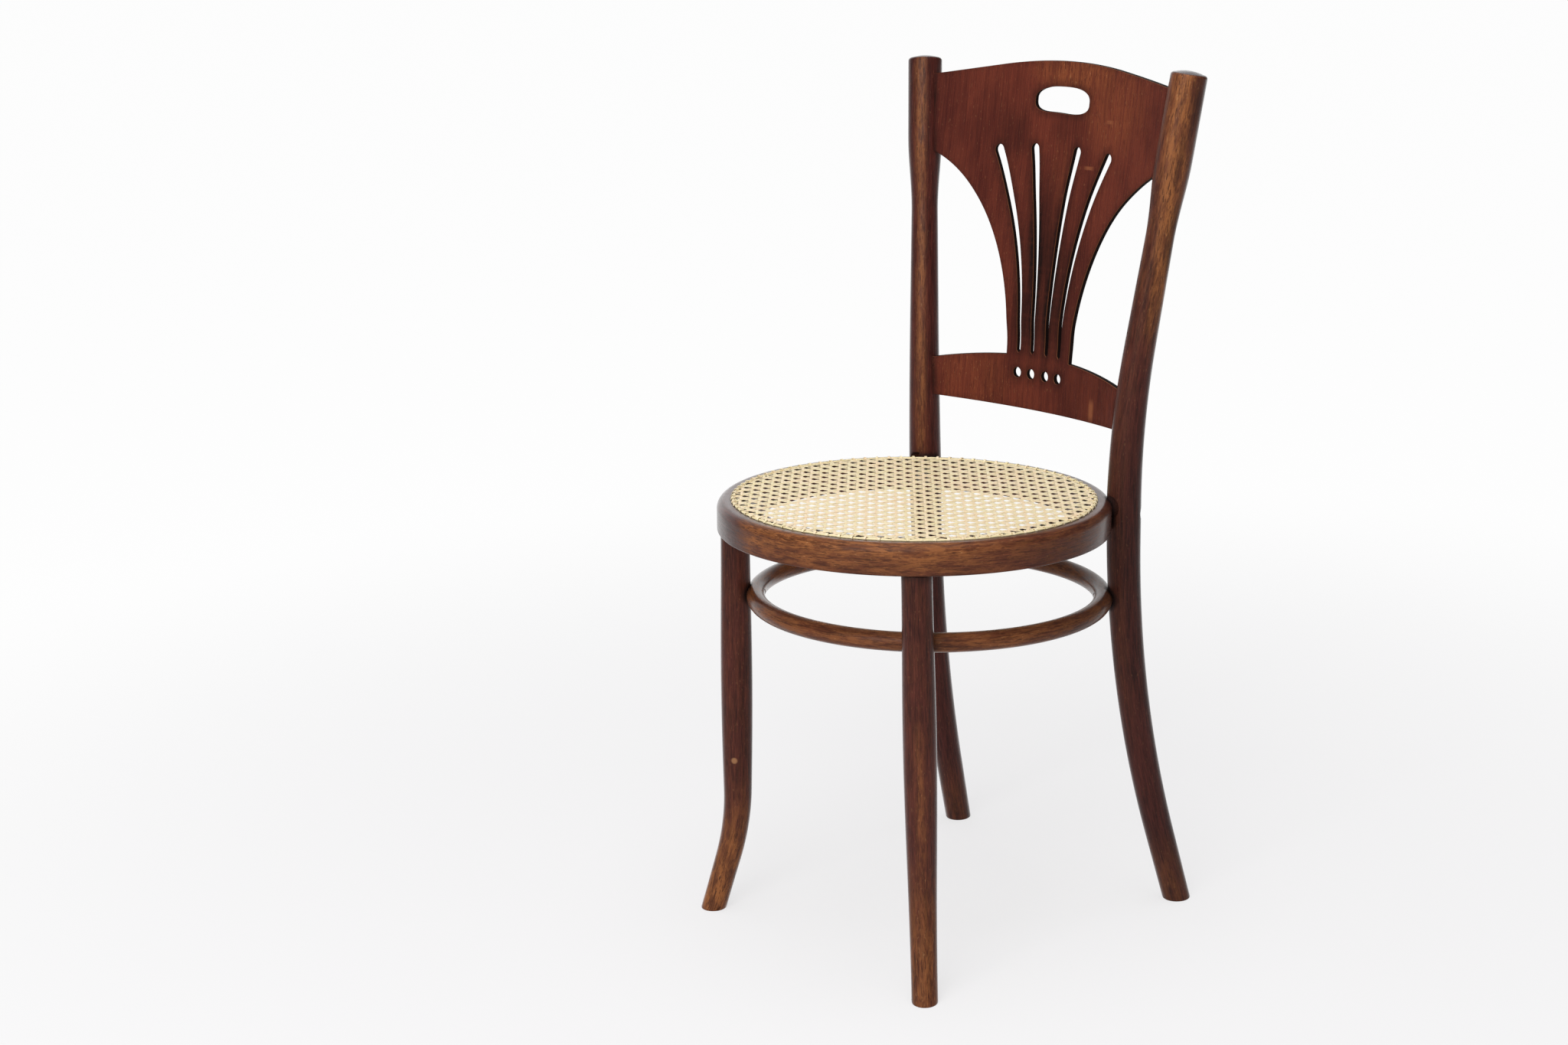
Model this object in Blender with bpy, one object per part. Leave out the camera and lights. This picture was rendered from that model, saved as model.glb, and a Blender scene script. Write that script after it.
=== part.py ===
"""A bentwood side chair with a caned round seat and a pierced, bent plywood back.

Every object is one piece of the chair at its real size, in metres. +Z is up, the front faces -Y, and left and
right are as seen from the front. The origin is on the floor, under the middle of the chair's outline.
Run it with blender --background --python part.py, or from Blender's text editor.
"""

from math import cos, hypot, pi, radians, sin, sqrt, tan

import bmesh
import bpy
from mathutils import Matrix, Vector

# Gap kept between pieces that touch
CLEARANCE = 0.0003

# Seat ring, a steam-bent hoop that drops a little towards the back
SEAT_RADIUS = 0.200
SEAT_UNDERSIDE = 0.4223
SEAT_SLOPE = radians(1.8)
RING_WIDTH = 0.033
RING_HEIGHT = 0.031
RING_TOP_ROUND = 0.009
RING_LOWER_ROUND = 0.0015

# Cane: the binder runs round the seat just inside the ring's rounded edge, and the web fills it
CANE_INSET = 0.0151
BINDER_WIDTH = 0.005
BINDER_THICKNESS = 0.0016
WEB_THICKNESS = 0.0014
WEB_PITCH = 0.0195
WEB_STRAND = 0.0096
WEB_SELVAGE = 0.002

# Front legs, turned bars that flare outwards at the foot
LEG_BEARING = radians(47.4)
LEG_SPLAY = radians(1.455)
LEG_TOP_DIAMETER = 0.030
LEG_BELLY_DIAMETER = 0.033
LEG_BELLY_HEIGHT = 0.26
LEG_FOOT_DIAMETER = 0.026
FLARE_HEIGHT = 0.135
FLARE_BEND = 0.075
FLARE_ANGLE = radians(15.642)
TENON_DIAMETER = 0.020
TENON_LENGTH = 0.022

# Rear posts, bent bars that lean out and back above the seat and kick back below it
BACK_HEIGHT = 0.4486
POST_BEARING = radians(42.9)
POST_NOTCH = 0.0044
POST_LEAN_BEARING = radians(39.7)
POST_LEAN_BEND = 0.184
POST_LEAN_ANGLE = radians(9.926)
POST_KICK_BEARING = radians(17.9)
POST_KICK_DROP = 0.022
POST_KICK_BEND = 0.32
POST_KICK_ANGLE = radians(15.376)
POST_FOOT_DIAMETER = 0.0283
POST_SEAT_DIAMETER = 0.0350
POST_WAIST_DIAMETER = 0.0284
POST_WAIST_DROP = 0.1595
POST_HEAD_DIAMETER = 0.0363
POST_HEAD_DROP = 0.0815
POST_CROWN_ROUND = 0.005

# Stretcher, a round hoop let into the inner sides of the four legs
STRETCHER_DROP = 0.0756
STRETCHER_DIAMETER = 0.0195
STRETCHER_LET_IN = 0.0045

# Back panel, one sheet bowed backwards between the posts
PANEL_THICKNESS = 0.006
PANEL_BOW = 0.029
PANEL_FORWARD = 0.006
GROOVE_DEPTH = 0.007
CREST_RISE = 0.0022
CREST_BEND = 0.084
CREST_ANGLE = radians(8.194)
RAIL_BOTTOM_RISE = 0.0907
RAIL_BOTTOM_LIFT = 0.003
RAIL_HEIGHT = 0.0562
RAIL_TOP_FALL = 0.0127
WAIST_HALF_WIDTH = 0.0445
SHOULDER_REACH = 0.16
SHOULDER_DROP = 0.089

# Openings cut in the panel
HAND_HOLE_WIDTH = 0.079
HAND_HOLE_HEIGHT = 0.028
HAND_HOLE_DROP = 0.0395
SLOT_TOP_DROP = 0.0905
SLOT_TOP_WIDTH = 0.0132
SLOT_FOOT_WIDTH = 0.0070
SLOT_FOOT_RISE = 0.0045
SLOT_CURVE = 2.2
INNER_SLOT_FOOT = 0.0102
INNER_SLOT_SPREAD = 0.0203
OUTER_SLOT_FOOT = 0.0290
OUTER_SLOT_SPREAD = 0.0495
ROUND_HOLE_DIAMETER = 0.011
ROUND_HOLE_DROP = 0.019

# Fasteners
BOLT_DIAMETER = 0.007
BOLT_HEAD_DIAMETER = 0.013
BOLT_HEAD_DEPTH = 0.004
BOLT_SINK = 0.002
BOLT_END = 0.002
WASHER_DIAMETER = 0.018
WASHER_THICKNESS = 0.0015
NUT_SIDE = 0.013
NUT_THICKNESS = 0.0055
SCREW_DIAMETER = 0.004
SCREW_HEAD_DIAMETER = 0.008
SCREW_HEAD_DEPTH = 0.0025
SCREW_SINK = 0.001
STRETCHER_SCREW_LENGTH = 0.034
LEG_SCREW_LENGTH = 0.022
SLOT_CUT_WIDTH = 0.0012
SLOT_CUT_DEPTH = 0.0010
PIN_DIAMETER = 0.0018
PIN_LENGTH = 0.016
PIN_SINK = 0.0006

# How far a bar is drawn past its flat cuts, half the step that gives its direction, and the merging distance
FLOOR_TRIM = 0.012
HALF_STEP = 0.002
MERGE = 0.000001

# Facets
HOOP_STEPS = 64
TUBE_SIDES = 12
BAR_SIDES = 16
FASTENER_SIDES = 12
PANEL_STRIPS = 18

# Sizes that follow from the ones above
LEFT, RIGHT = -1, 1
RING_INNER_RADIUS = SEAT_RADIUS - RING_WIDTH
LEG_TOP_RADIUS = SEAT_RADIUS - RING_WIDTH / 2
POST_TOP = SEAT_UNDERSIDE + BACK_HEIGHT
POST_SEAT_RADIUS = SEAT_RADIUS + POST_SEAT_DIAMETER / 2 - POST_NOTCH
SEAT_UP = Vector((0, sin(SEAT_SLOPE), cos(SEAT_SLOPE)))
CREST = POST_TOP + CREST_RISE
RAIL_BOTTOM = SEAT_UNDERSIDE + RAIL_BOTTOM_RISE
RAIL_TOP = RAIL_BOTTOM + RAIL_HEIGHT


def bend(run, length, angle):
    """The sideways shift of a bar after a run that eases from straight to an angle over the bend's length."""
    if run <= 0:
        return 0.0
    if run < length:
        return run * run * tan(angle) / (2 * length)
    return (run - length / 2) * tan(angle)


def ease(start, end, share):
    """A smooth change from start to end as share goes from 0 to 1."""
    share = min(max(share, 0.0), 1.0)
    return start + (end - start) * (1 - cos(pi * share)) / 2


def spaced(start, end, count):
    """Evenly spaced values from start to end, both included."""
    return [start + (end - start) * i / (count - 1) for i in range(count)]


def leg_centre(z):
    """The right front leg's centre line."""
    reach = LEG_TOP_RADIUS + tan(LEG_SPLAY) * (SEAT_UNDERSIDE - z)
    reach += bend(FLARE_HEIGHT - z, FLARE_BEND, FLARE_ANGLE)
    return Vector((reach * sin(LEG_BEARING), -reach * cos(LEG_BEARING), z))


def leg_radius(z):
    if z > LEG_BELLY_HEIGHT:
        share = (z - LEG_BELLY_HEIGHT) / (SEAT_UNDERSIDE - LEG_BELLY_HEIGHT)
        return ease(LEG_BELLY_DIAMETER, LEG_TOP_DIAMETER, share) / 2
    return ease(LEG_FOOT_DIAMETER, LEG_BELLY_DIAMETER, z / LEG_BELLY_HEIGHT) / 2


def post_centre(z):
    """The right rear post's centre line."""
    lean = bend(z - SEAT_UNDERSIDE, POST_LEAN_BEND, POST_LEAN_ANGLE)
    kick = bend(SEAT_UNDERSIDE - POST_KICK_DROP - z, POST_KICK_BEND, POST_KICK_ANGLE)
    x = POST_SEAT_RADIUS * sin(POST_BEARING) + lean * sin(POST_LEAN_BEARING) + kick * sin(POST_KICK_BEARING)
    y = POST_SEAT_RADIUS * cos(POST_BEARING) + lean * cos(POST_LEAN_BEARING) + kick * cos(POST_KICK_BEARING)
    return Vector((x, y, z))


def post_radius(z):
    """Half the post's thickness: swollen at the seat, drawn in at the waist, full at the head."""
    seat = SEAT_UNDERSIDE + RING_HEIGHT / 2
    waist = POST_TOP - POST_WAIST_DROP
    head = POST_TOP - POST_HEAD_DROP
    if z >= waist:
        radius = ease(POST_WAIST_DIAMETER, POST_HEAD_DIAMETER, (z - waist) / (head - waist)) / 2
    elif z >= seat:
        share = (z - seat) / (waist - seat)
        radius = (POST_SEAT_DIAMETER + (POST_WAIST_DIAMETER - POST_SEAT_DIAMETER) * share) / 2
    else:
        radius = (POST_FOOT_DIAMETER + (POST_SEAT_DIAMETER - POST_FOOT_DIAMETER) * max(z, 0.0) / seat) / 2
    crown = z - (POST_TOP - POST_CROWN_ROUND)
    if crown > 0:
        radius -= POST_CROWN_ROUND - sqrt(max(POST_CROWN_ROUND**2 - crown**2, 0.0))
    return radius


def stretcher_circle():
    """How far back the hoop's centre is, and its centre-line radius, so that it meets all four legs."""
    z = SEAT_UNDERSIDE - STRETCHER_DROP
    front, rear = leg_centre(z), post_centre(z)
    low, high = front.y, rear.y
    for _ in range(50):
        middle = (low + high) / 2
        to_front = hypot(front.x, front.y - middle) - leg_radius(z)
        to_rear = hypot(rear.x, rear.y - middle) - post_radius(z)
        if to_front < to_rear:
            low = middle
        else:
            high = middle
    return middle, to_front + STRETCHER_LET_IN - STRETCHER_DIAMETER / 2


def sheet_y(x, z):
    """Where the middle of the bowed panel lies, between the posts at height z."""
    post = post_centre(z)
    return post.y - PANEL_FORWARD + PANEL_BOW * (1 - (x / post.x) ** 2)


def groove_mouth(z):
    """How far out the post's inner side is, where the panel goes into it."""
    return post_centre(z).x - post_radius(z)


def clear_scene():
    for obj in list(bpy.data.objects):
        bpy.data.objects.remove(obj)


def new_empty(name, parent=None, location=(0, 0, 0), tilt=0.0):
    empty = bpy.data.objects.new(name, None)
    empty.parent = parent
    empty.location = location
    empty.rotation_euler.x = tilt
    bpy.context.scene.collection.objects.link(empty)
    return empty


def finish(name, colour, roughness, metallic=0.0):
    material = bpy.data.materials.new(name)
    material.use_nodes = True
    shader = material.node_tree.nodes["Principled BSDF"]
    shader.inputs["Base Color"].default_value = (*colour, 1)
    shader.inputs["Roughness"].default_value = roughness
    shader.inputs["Metallic"].default_value = metallic
    material.diffuse_color = (*colour, 1)
    return material


def mesh_of(name, bm):
    bmesh.ops.recalc_face_normals(bm, faces=bm.faces)
    mesh = bpy.data.meshes.new(name)
    bm.to_mesh(mesh)
    bm.free()
    mesh.shade_smooth()
    mesh.set_sharp_from_angle(angle=radians(35))
    return mesh


def place(name, mesh, parent, material=None, location=(0, 0, 0), along=None):
    """An object that uses the mesh. along turns the mesh's own +Z to that direction."""
    obj = bpy.data.objects.new(name, mesh)
    obj.parent = parent
    obj.location = location
    if along is not None:
        obj.rotation_euler = Vector(along).to_track_quat("Z", "Y").to_euler()
    if material is not None and not mesh.materials:
        mesh.materials.append(material)
    bpy.context.scene.collection.objects.link(obj)
    return obj


def cut(piece, cutter):
    """Takes the cutter's shape out of the piece and hides the cutter."""
    cutter.hide_render = True
    cutter.display_type = "WIRE"
    modifier = piece.modifiers.new(cutter.name, "BOOLEAN")
    modifier.operation = "DIFFERENCE"
    modifier.object = cutter


def loft(rings):
    """A closed solid through rings, each a matrix and a radius, with flat ends."""
    bm = bmesh.new()
    loops = []
    for matrix, radius, sides in rings:
        loop = bmesh.ops.create_circle(bm, radius=radius, segments=sides, matrix=matrix)
        loops.append(loop["verts"])
    for lower, upper in zip(loops, loops[1:]):
        edges = [edge for edge in bm.edges if set(edge.verts) <= set(lower) or set(edge.verts) <= set(upper)]
        bmesh.ops.bridge_loops(bm, edges=edges)
    bm.faces.new(loops[0])
    bm.faces.new(loops[-1])
    return bm


def swept_bar(centre, radius, heights, side):
    """A round bar along a centre line, its rings square to the run. side mirrors it to the left."""
    rings = []
    mirror = Matrix.Diagonal((side, 1, 1, 1))
    for z in heights:
        run = mirror @ (centre(z + HALF_STEP) - centre(z - HALF_STEP))
        turn = run.to_track_quat("Z", "Y").to_matrix().to_4x4()
        rings.append((Matrix.Translation(mirror @ centre(z)) @ turn, radius(z), BAR_SIDES))
    return loft(rings)


def turned(profile, sides=FASTENER_SIDES, loose=0.0):
    """A solid turned about Z from (radius, height) pairs. loose widens it, so that its flats clear a pin."""
    spread = 1 / cos(pi / sides) if loose else 1.0
    return loft([(Matrix.Translation((0, 0, z)), (r + loose) * spread, sides) for r, z in profile])


def spun(profile):
    """A hoop about Z from a closed outline of (radius, height) pairs."""
    bm = bmesh.new()
    points = [bm.verts.new((r, 0, z)) for r, z in profile]
    edges = [bm.edges.new(pair) for pair in zip(points, points[1:] + points[:1])]
    bmesh.ops.spin(bm, geom=points + edges, axis=(0, 0, 1), angle=2 * pi, steps=HOOP_STEPS, use_merge=True)
    bmesh.ops.remove_doubles(bm, verts=bm.verts, dist=MERGE)
    return bm


def slice_flat(bm, point, normal):
    """Removes what lies past the plane and closes the cut with one flat face, which it returns."""
    everything = bm.verts[:] + bm.edges[:] + bm.faces[:]
    result = bmesh.ops.bisect_plane(bm, geom=everything, plane_co=point, plane_no=normal, clear_outer=True)
    edges = [item for item in result["geom_cut"] if isinstance(item, bmesh.types.BMEdge)]
    return bmesh.ops.edgeloop_fill(bm, edges=edges)["faces"][0]


def plate(loops, thickness):
    """A flat plate in XY, from its outline and the outlines of its holes, thickened along +Z."""
    bm = bmesh.new()
    for loop in loops:
        points = [bm.verts.new((x, y, 0)) for x, y in loop]
        for pair in zip(points, points[1:] + points[:1]):
            bm.edges.new(pair)
    bmesh.ops.triangle_fill(bm, edges=bm.edges[:], use_beauty=True, normal=(0, 0, 1))
    top = bmesh.ops.extrude_face_region(bm, geom=bm.faces[:])["geom"]
    corners = [item for item in top if isinstance(item, bmesh.types.BMVert)]
    bmesh.ops.translate(bm, verts=corners, vec=(0, 0, thickness))
    return bm


def square_points(side, centre=(0, 0)):
    corners = ((-1, -1), (1, -1), (1, 1), (-1, 1))
    return [(centre[0] + x * side / 2, centre[1] + y * side / 2) for x, y in corners]


def circle_points(radius, count, centre=(0, 0)):
    return [
        (centre[0] + radius * cos(2 * pi * i / count), centre[1] + radius * sin(2 * pi * i / count))
        for i in range(count)
    ]


def bow(bm, thickness, strips):
    """Bends a flat plate, drawn as x across and y up, onto the panel's bowed and leaning sheet."""
    reach = max(abs(v.co.x) for v in bm.verts)
    for x in spaced(-reach, reach, strips + 1)[1:-1]:
        everything = bm.verts[:] + bm.edges[:] + bm.faces[:]
        bmesh.ops.bisect_plane(bm, geom=everything, dist=MERGE, plane_co=(x, 0, 0), plane_no=(1, 0, 0))
    for v in bm.verts:
        x, z, depth = v.co
        v.co = (x, sheet_y(x, z) + depth - thickness / 2, z)
    return bm


def rail_bottom_edge(x):
    return RAIL_BOTTOM + RAIL_BOTTOM_LIFT * (x / groove_mouth(RAIL_BOTTOM)) ** 2


def rail_top_edge(x):
    return RAIL_TOP - RAIL_TOP_FALL * (x / groove_mouth(RAIL_TOP)) ** 2


def crest_edge(x):
    return CREST - bend(abs(x), CREST_BEND, CREST_ANGLE)


def meet_post(edge):
    """The height at which a panel edge, given by its height at x, reaches the post."""
    z = edge(0)
    for _ in range(20):
        z = edge(groove_mouth(z))
    return z


def shoulder_edge():
    """Points up the hollow side of the upper panel, part of an ellipse from the waist out to the post."""
    foot = rail_top_edge(WAIST_HALF_WIDTH)
    rise = CREST - SHOULDER_DROP - foot
    points = []
    for turn in spaced(0, pi / 2, 25):
        x = WAIST_HALF_WIDTH + SHOULDER_REACH * (1 - cos(turn))
        z = foot + rise * sin(turn)
        if x >= groove_mouth(z):
            break
        points.append((x, z))
    z = points[-1][1]
    points.append((groove_mouth(z), z))
    return points


def panel_half():
    """The right half of the panel's outline, from the bottom middle up to the top middle."""
    steps = [i / 6 for i in range(7)]
    low, high, top = meet_post(rail_bottom_edge), meet_post(rail_top_edge), meet_post(crest_edge)
    tongue = GROOVE_DEPTH - CLEARANCE
    points = [(groove_mouth(low) * s, rail_bottom_edge(groove_mouth(low) * s)) for s in steps]
    points += [(groove_mouth(z) + tongue, z) for z in spaced(low, high, 5)]
    across = groove_mouth(high) - WAIST_HALF_WIDTH
    for s in steps:
        x = groove_mouth(high) - across * s
        points.append((x, rail_top_edge(x)))
    side = shoulder_edge()
    points += side[1:]
    points += [(groove_mouth(z) + tongue, z) for z in spaced(side[-1][1], top, 5)]
    points += [(x, crest_edge(x)) for x in spaced(groove_mouth(top), 0.0, 9)]
    return points


def slot_outline(foot, spread, side):
    """A long slot that widens and curves outwards from a narrow foot to a round head."""
    bottom, top = RAIL_TOP + SLOT_FOOT_RISE, CREST - SLOT_TOP_DROP
    right, left = [], []
    for share in spaced(0, 1, 8):
        x = foot + spread * share**SLOT_CURVE
        z = bottom + (top - bottom) * share
        slope = SLOT_CURVE * spread * share ** (SLOT_CURVE - 1) / (top - bottom)
        half = (SLOT_FOOT_WIDTH + (SLOT_TOP_WIDTH - SLOT_FOOT_WIDTH) * share) / 2
        across = Vector((1, -slope)).normalized() * half
        right.append((x + across.x, z + across.y))
        left.append((x - across.x, z - across.y))
        end = Vector((x, z)), across, Vector((-across.y, across.x))
    head = []
    for turn in spaced(0, pi, 7)[1:-1]:
        point = end[0] + end[1] * cos(turn) + end[2] * sin(turn)
        head.append((point.x, point.y))
    foot_end = [(foot, bottom - SLOT_FOOT_WIDTH / 2)]
    return [(side * x, z) for x, z in foot_end + right + head + left[::-1]]


def hand_hole():
    """A long hole with round ends, below the middle of the panel's top edge."""
    radius = HAND_HOLE_HEIGHT / 2
    straight = HAND_HOLE_WIDTH / 2 - radius
    z = CREST - HAND_HOLE_DROP
    right = [(straight + radius * cos(t), z + radius * sin(t)) for t in spaced(-pi / 2, pi / 2, 9)]
    return right + [(-x, z2) for x, z2 in right[::-1]]


def panel_loops():
    half = panel_half()
    outline = half + [(-x, z) for x, z in half[-2:0:-1]]
    loops = [outline, hand_hole()]
    for side in (LEFT, RIGHT):
        loops.append(slot_outline(INNER_SLOT_FOOT, INNER_SLOT_SPREAD, side))
        loops.append(slot_outline(OUTER_SLOT_FOOT, OUTER_SLOT_SPREAD, side))
        for x in (INNER_SLOT_FOOT, OUTER_SLOT_FOOT):
            loops.append(circle_points(ROUND_HOLE_DIAMETER / 2, 12, (side * x, RAIL_TOP - ROUND_HOLE_DROP)))
    return loops


def groove_cutter(name, low, high, side, parent):
    """A strip of the panel's sheet, a clearance larger all round, for the groove in a post."""
    inner, outer = [], []
    for z in spaced(low - CLEARANCE, high + CLEARANCE, 5):
        inner.append((side * (groove_mouth(z) - GROOVE_DEPTH), z))
        outer.append((side * (groove_mouth(z) + GROOVE_DEPTH), z))
    thickness = PANEL_THICKNESS + 2 * CLEARANCE
    bm = bow(plate([inner + outer[::-1]], thickness), thickness, 1)
    return place(name, mesh_of(name, bm), parent)


def screw_profile(radius, head_radius, head_depth, length):
    return [(head_radius, 0), (radius, head_depth), (radius, length - 2 * radius), (radius / 4, length)]


def hole_profile(radius, head_radius, head_depth, sink, length):
    """The room that a countersunk screw needs, with the sunk head's way in."""
    end = length + 2 * CLEARANCE
    return [(head_radius, -2 * sink), (head_radius, 0), (radius, head_depth), (radius, end)]


def slotted(name, bm, width):
    """The mesh of a turned screw with a driver slot across its head."""
    screw = place(name, mesh_of(name, bm), None)
    slot = bmesh.new()
    bmesh.ops.create_cube(slot, size=1.0)
    bmesh.ops.scale(slot, verts=slot.verts, vec=(SLOT_CUT_WIDTH, width, 2 * SLOT_CUT_DEPTH))
    cutter = place(name + "_slot", mesh_of(name + "_slot", slot), None)
    cut(screw, cutter)
    graph = bpy.context.evaluated_depsgraph_get()
    mesh = bpy.data.meshes.new_from_object(screw.evaluated_get(graph))
    bpy.data.objects.remove(screw)
    bpy.data.objects.remove(cutter)
    return mesh


def make_seat_ring(seat_plane, wood):
    inner, outer = RING_INNER_RADIUS, SEAT_RADIUS
    profile = [(inner, 0), (outer - RING_LOWER_ROUND, 0), (outer, RING_LOWER_ROUND)]
    for turn in spaced(0, pi / 2, 5):
        profile.append((
            outer - RING_TOP_ROUND * (1 - cos(turn)),
            RING_HEIGHT - RING_TOP_ROUND * (1 - sin(turn)),
        ))
    profile.append((inner, RING_HEIGHT))
    return place("seat_ring", mesh_of("seat_ring", spun(profile)), seat_plane, wood)


def make_cane(seat_plane, cane):
    """The flat binder and the net of strands inside it, both lying on the ring."""
    outer = SEAT_RADIUS - CANE_INSET
    inner = outer - BINDER_WIDTH
    low, high = RING_HEIGHT + CLEARANCE, RING_HEIGHT + CLEARANCE + BINDER_THICKNESS
    soft = BINDER_THICKNESS / 2
    profile = [(inner, low), (outer, low), (outer, low + soft), (outer - soft, high), (inner + soft, high)]
    profile.append((inner, low + soft))
    place("cane_binder", mesh_of("cane_binder", spun(profile)), seat_plane, cane)
    loops = [circle_points(inner - CLEARANCE, HOOP_STEPS)]
    gap = WEB_PITCH - WEB_STRAND
    reach = RING_INNER_RADIUS - WEB_SELVAGE
    count = int(reach / WEB_PITCH) + 1
    for i in range(-count, count):
        for j in range(-count, count):
            x, y = (i + 0.5) * WEB_PITCH, (j + 0.5) * WEB_PITCH
            if hypot(abs(x) + gap / 2, abs(y) + gap / 2) < reach:
                loops.append(square_points(gap, (x, y)))
    web = plate(loops, WEB_THICKNESS)
    place("cane_web", mesh_of("cane_web", web), seat_plane, cane, location=(0, 0, low))
    print("cane web gaps:", len(loops) - 1)


def make_front_leg(side, chair, seat_ring, wood):
    """A leg cut flat at the floor and at the ring, with a round tenon that goes up into the ring."""
    word = "left" if side == LEFT else "right"
    heights = spaced(-FLOOR_TRIM, FLARE_HEIGHT, 9) + spaced(FLARE_HEIGHT, SEAT_UNDERSIDE + FLOOR_TRIM, 8)[1:]
    bm = swept_bar(leg_centre, leg_radius, heights, side)
    slice_flat(bm, (0, 0, 0), (0, 0, -1))
    underside = Vector((0, 0, SEAT_UNDERSIDE))
    shoulder = slice_flat(bm, underside - SEAT_UP * CLEARANCE, SEAT_UP)
    step = (LEG_TOP_DIAMETER - TENON_DIAMETER) / 2
    bmesh.ops.inset_individual(bm, faces=[shoulder], thickness=step, use_even_offset=True)
    tenon = bmesh.ops.extrude_discrete_faces(bm, faces=[shoulder])["faces"][0]
    middle = tenon.calc_center_median()
    bmesh.ops.translate(bm, verts=tenon.verts, vec=SEAT_UP * TENON_LENGTH)
    leg = place(f"front_leg_{word}", mesh_of(f"front_leg_{word}", bm), chair, wood)
    hole = [(TENON_DIAMETER / 2, -TENON_LENGTH), (TENON_DIAMETER / 2, TENON_LENGTH + CLEARANCE)]
    socket = turned(hole, BAR_SIDES, CLEARANCE)
    name = f"socket_{word}"
    cut(seat_ring, place(name, mesh_of(name, socket), chair, location=middle, along=SEAT_UP))
    return leg


def make_rear_post(side, chair, seat_plane, wood):
    """A bent post with a notch for the seat ring and two grooves for the panel."""
    word = "left" if side == LEFT else "right"
    waist, head = POST_TOP - POST_WAIST_DROP, POST_TOP - POST_HEAD_DROP
    heights = spaced(-FLOOR_TRIM, waist, 20) + spaced(waist, head, 5)[1:]
    heights += [POST_TOP - POST_CROWN_ROUND * (1 - sin(turn)) for turn in spaced(0, pi / 2, 4)]
    bm = swept_bar(post_centre, post_radius, heights, side)
    slice_flat(bm, (0, 0, 0), (0, 0, -1))
    post = place(f"rear_post_{word}", mesh_of(f"rear_post_{word}", bm), chair, wood)
    reach = SEAT_RADIUS + CLEARANCE
    notch = turned([(reach, -CLEARANCE), (reach, RING_HEIGHT + CLEARANCE)], HOOP_STEPS)
    cut(post, place(f"notch_{word}", mesh_of(f"notch_{word}", notch), seat_plane))
    low, high, top = meet_post(rail_bottom_edge), meet_post(rail_top_edge), meet_post(crest_edge)
    cut(post, groove_cutter(f"lower_groove_{word}", low, high, side, chair))
    cut(post, groove_cutter(f"upper_groove_{word}", shoulder_edge()[-1][1], top, side, chair))
    return post


def make_stretcher(stretcher_plane, radius, legs, wood):
    """The hoop, and the seats that it needs in the legs."""
    def hoop(loose):
        thick = STRETCHER_DIAMETER / 2 + loose
        return spun([(radius + x, z) for x, z in circle_points(thick, TUBE_SIDES)])

    stretcher = place("stretcher_ring", mesh_of("stretcher_ring", hoop(0.0)), stretcher_plane, wood)
    for leg in legs.values():
        name = f"seat_in_{leg.name}"
        cut(leg, place(name, mesh_of(name, hoop(CLEARANCE)), stretcher_plane))
    return stretcher


def make_panel(chair, veneer):
    bm = bow(plate(panel_loops(), PANEL_THICKNESS), PANEL_THICKNESS, PANEL_STRIPS)
    return place("back_panel", mesh_of("back_panel", bm), chair, veneer)


def drive(name, mesh, hole, location, along, parent, through, steel):
    """Sets a fastener and bores its hole through the pieces that it holds."""
    place(name, mesh, parent, steel, location, along)
    for piece in through:
        cutter = f"hole_in_{piece.name}_for_{name}"
        cut(piece, place(cutter, mesh_of(cutter, hole()), parent, None, location, along))


def make_post_bolts(seat_plane, seat_ring, posts, steel):
    """A countersunk bolt through each post and the ring, with a washer and a square nut inside."""
    start = POST_SEAT_RADIUS + POST_SEAT_DIAMETER / 2 - BOLT_SINK
    washer_face = RING_INNER_RADIUS * cos(pi / HOOP_STEPS) - 2 * CLEARANCE
    length = start - (washer_face - WASHER_THICKNESS - NUT_THICKNESS - BOLT_END)
    sizes = BOLT_DIAMETER / 2, BOLT_HEAD_DIAMETER / 2, BOLT_HEAD_DEPTH
    bolt = slotted("post_bolt", turned(screw_profile(*sizes, length)), BOLT_HEAD_DIAMETER * 2)
    bore = circle_points(BOLT_DIAMETER / 2 + 2 * CLEARANCE, FASTENER_SIDES)
    rim = circle_points(WASHER_DIAMETER / 2, FASTENER_SIDES)
    washer = mesh_of("post_washer", plate([rim, bore], WASHER_THICKNESS))
    nut = mesh_of("post_nut", plate([square_points(NUT_SIDE), bore], NUT_THICKNESS))
    for side, word in ((LEFT, "left"), (RIGHT, "right")):
        out = Vector((side * sin(POST_BEARING), cos(POST_BEARING), 0))
        height = Vector((0, 0, RING_HEIGHT / 2))
        drive(
            f"post_bolt_{word}", bolt,
            lambda: turned(hole_profile(*sizes, BOLT_SINK, length), loose=CLEARANCE),
            out * start + height, -out, seat_plane, (seat_ring, posts[side]), steel,
        )
        place(f"post_washer_{word}", washer, seat_plane, steel, out * washer_face + height, -out)
        face = washer_face - WASHER_THICKNESS - CLEARANCE
        place(f"post_nut_{word}", nut, seat_plane, steel, out * face + height, -out)


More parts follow.
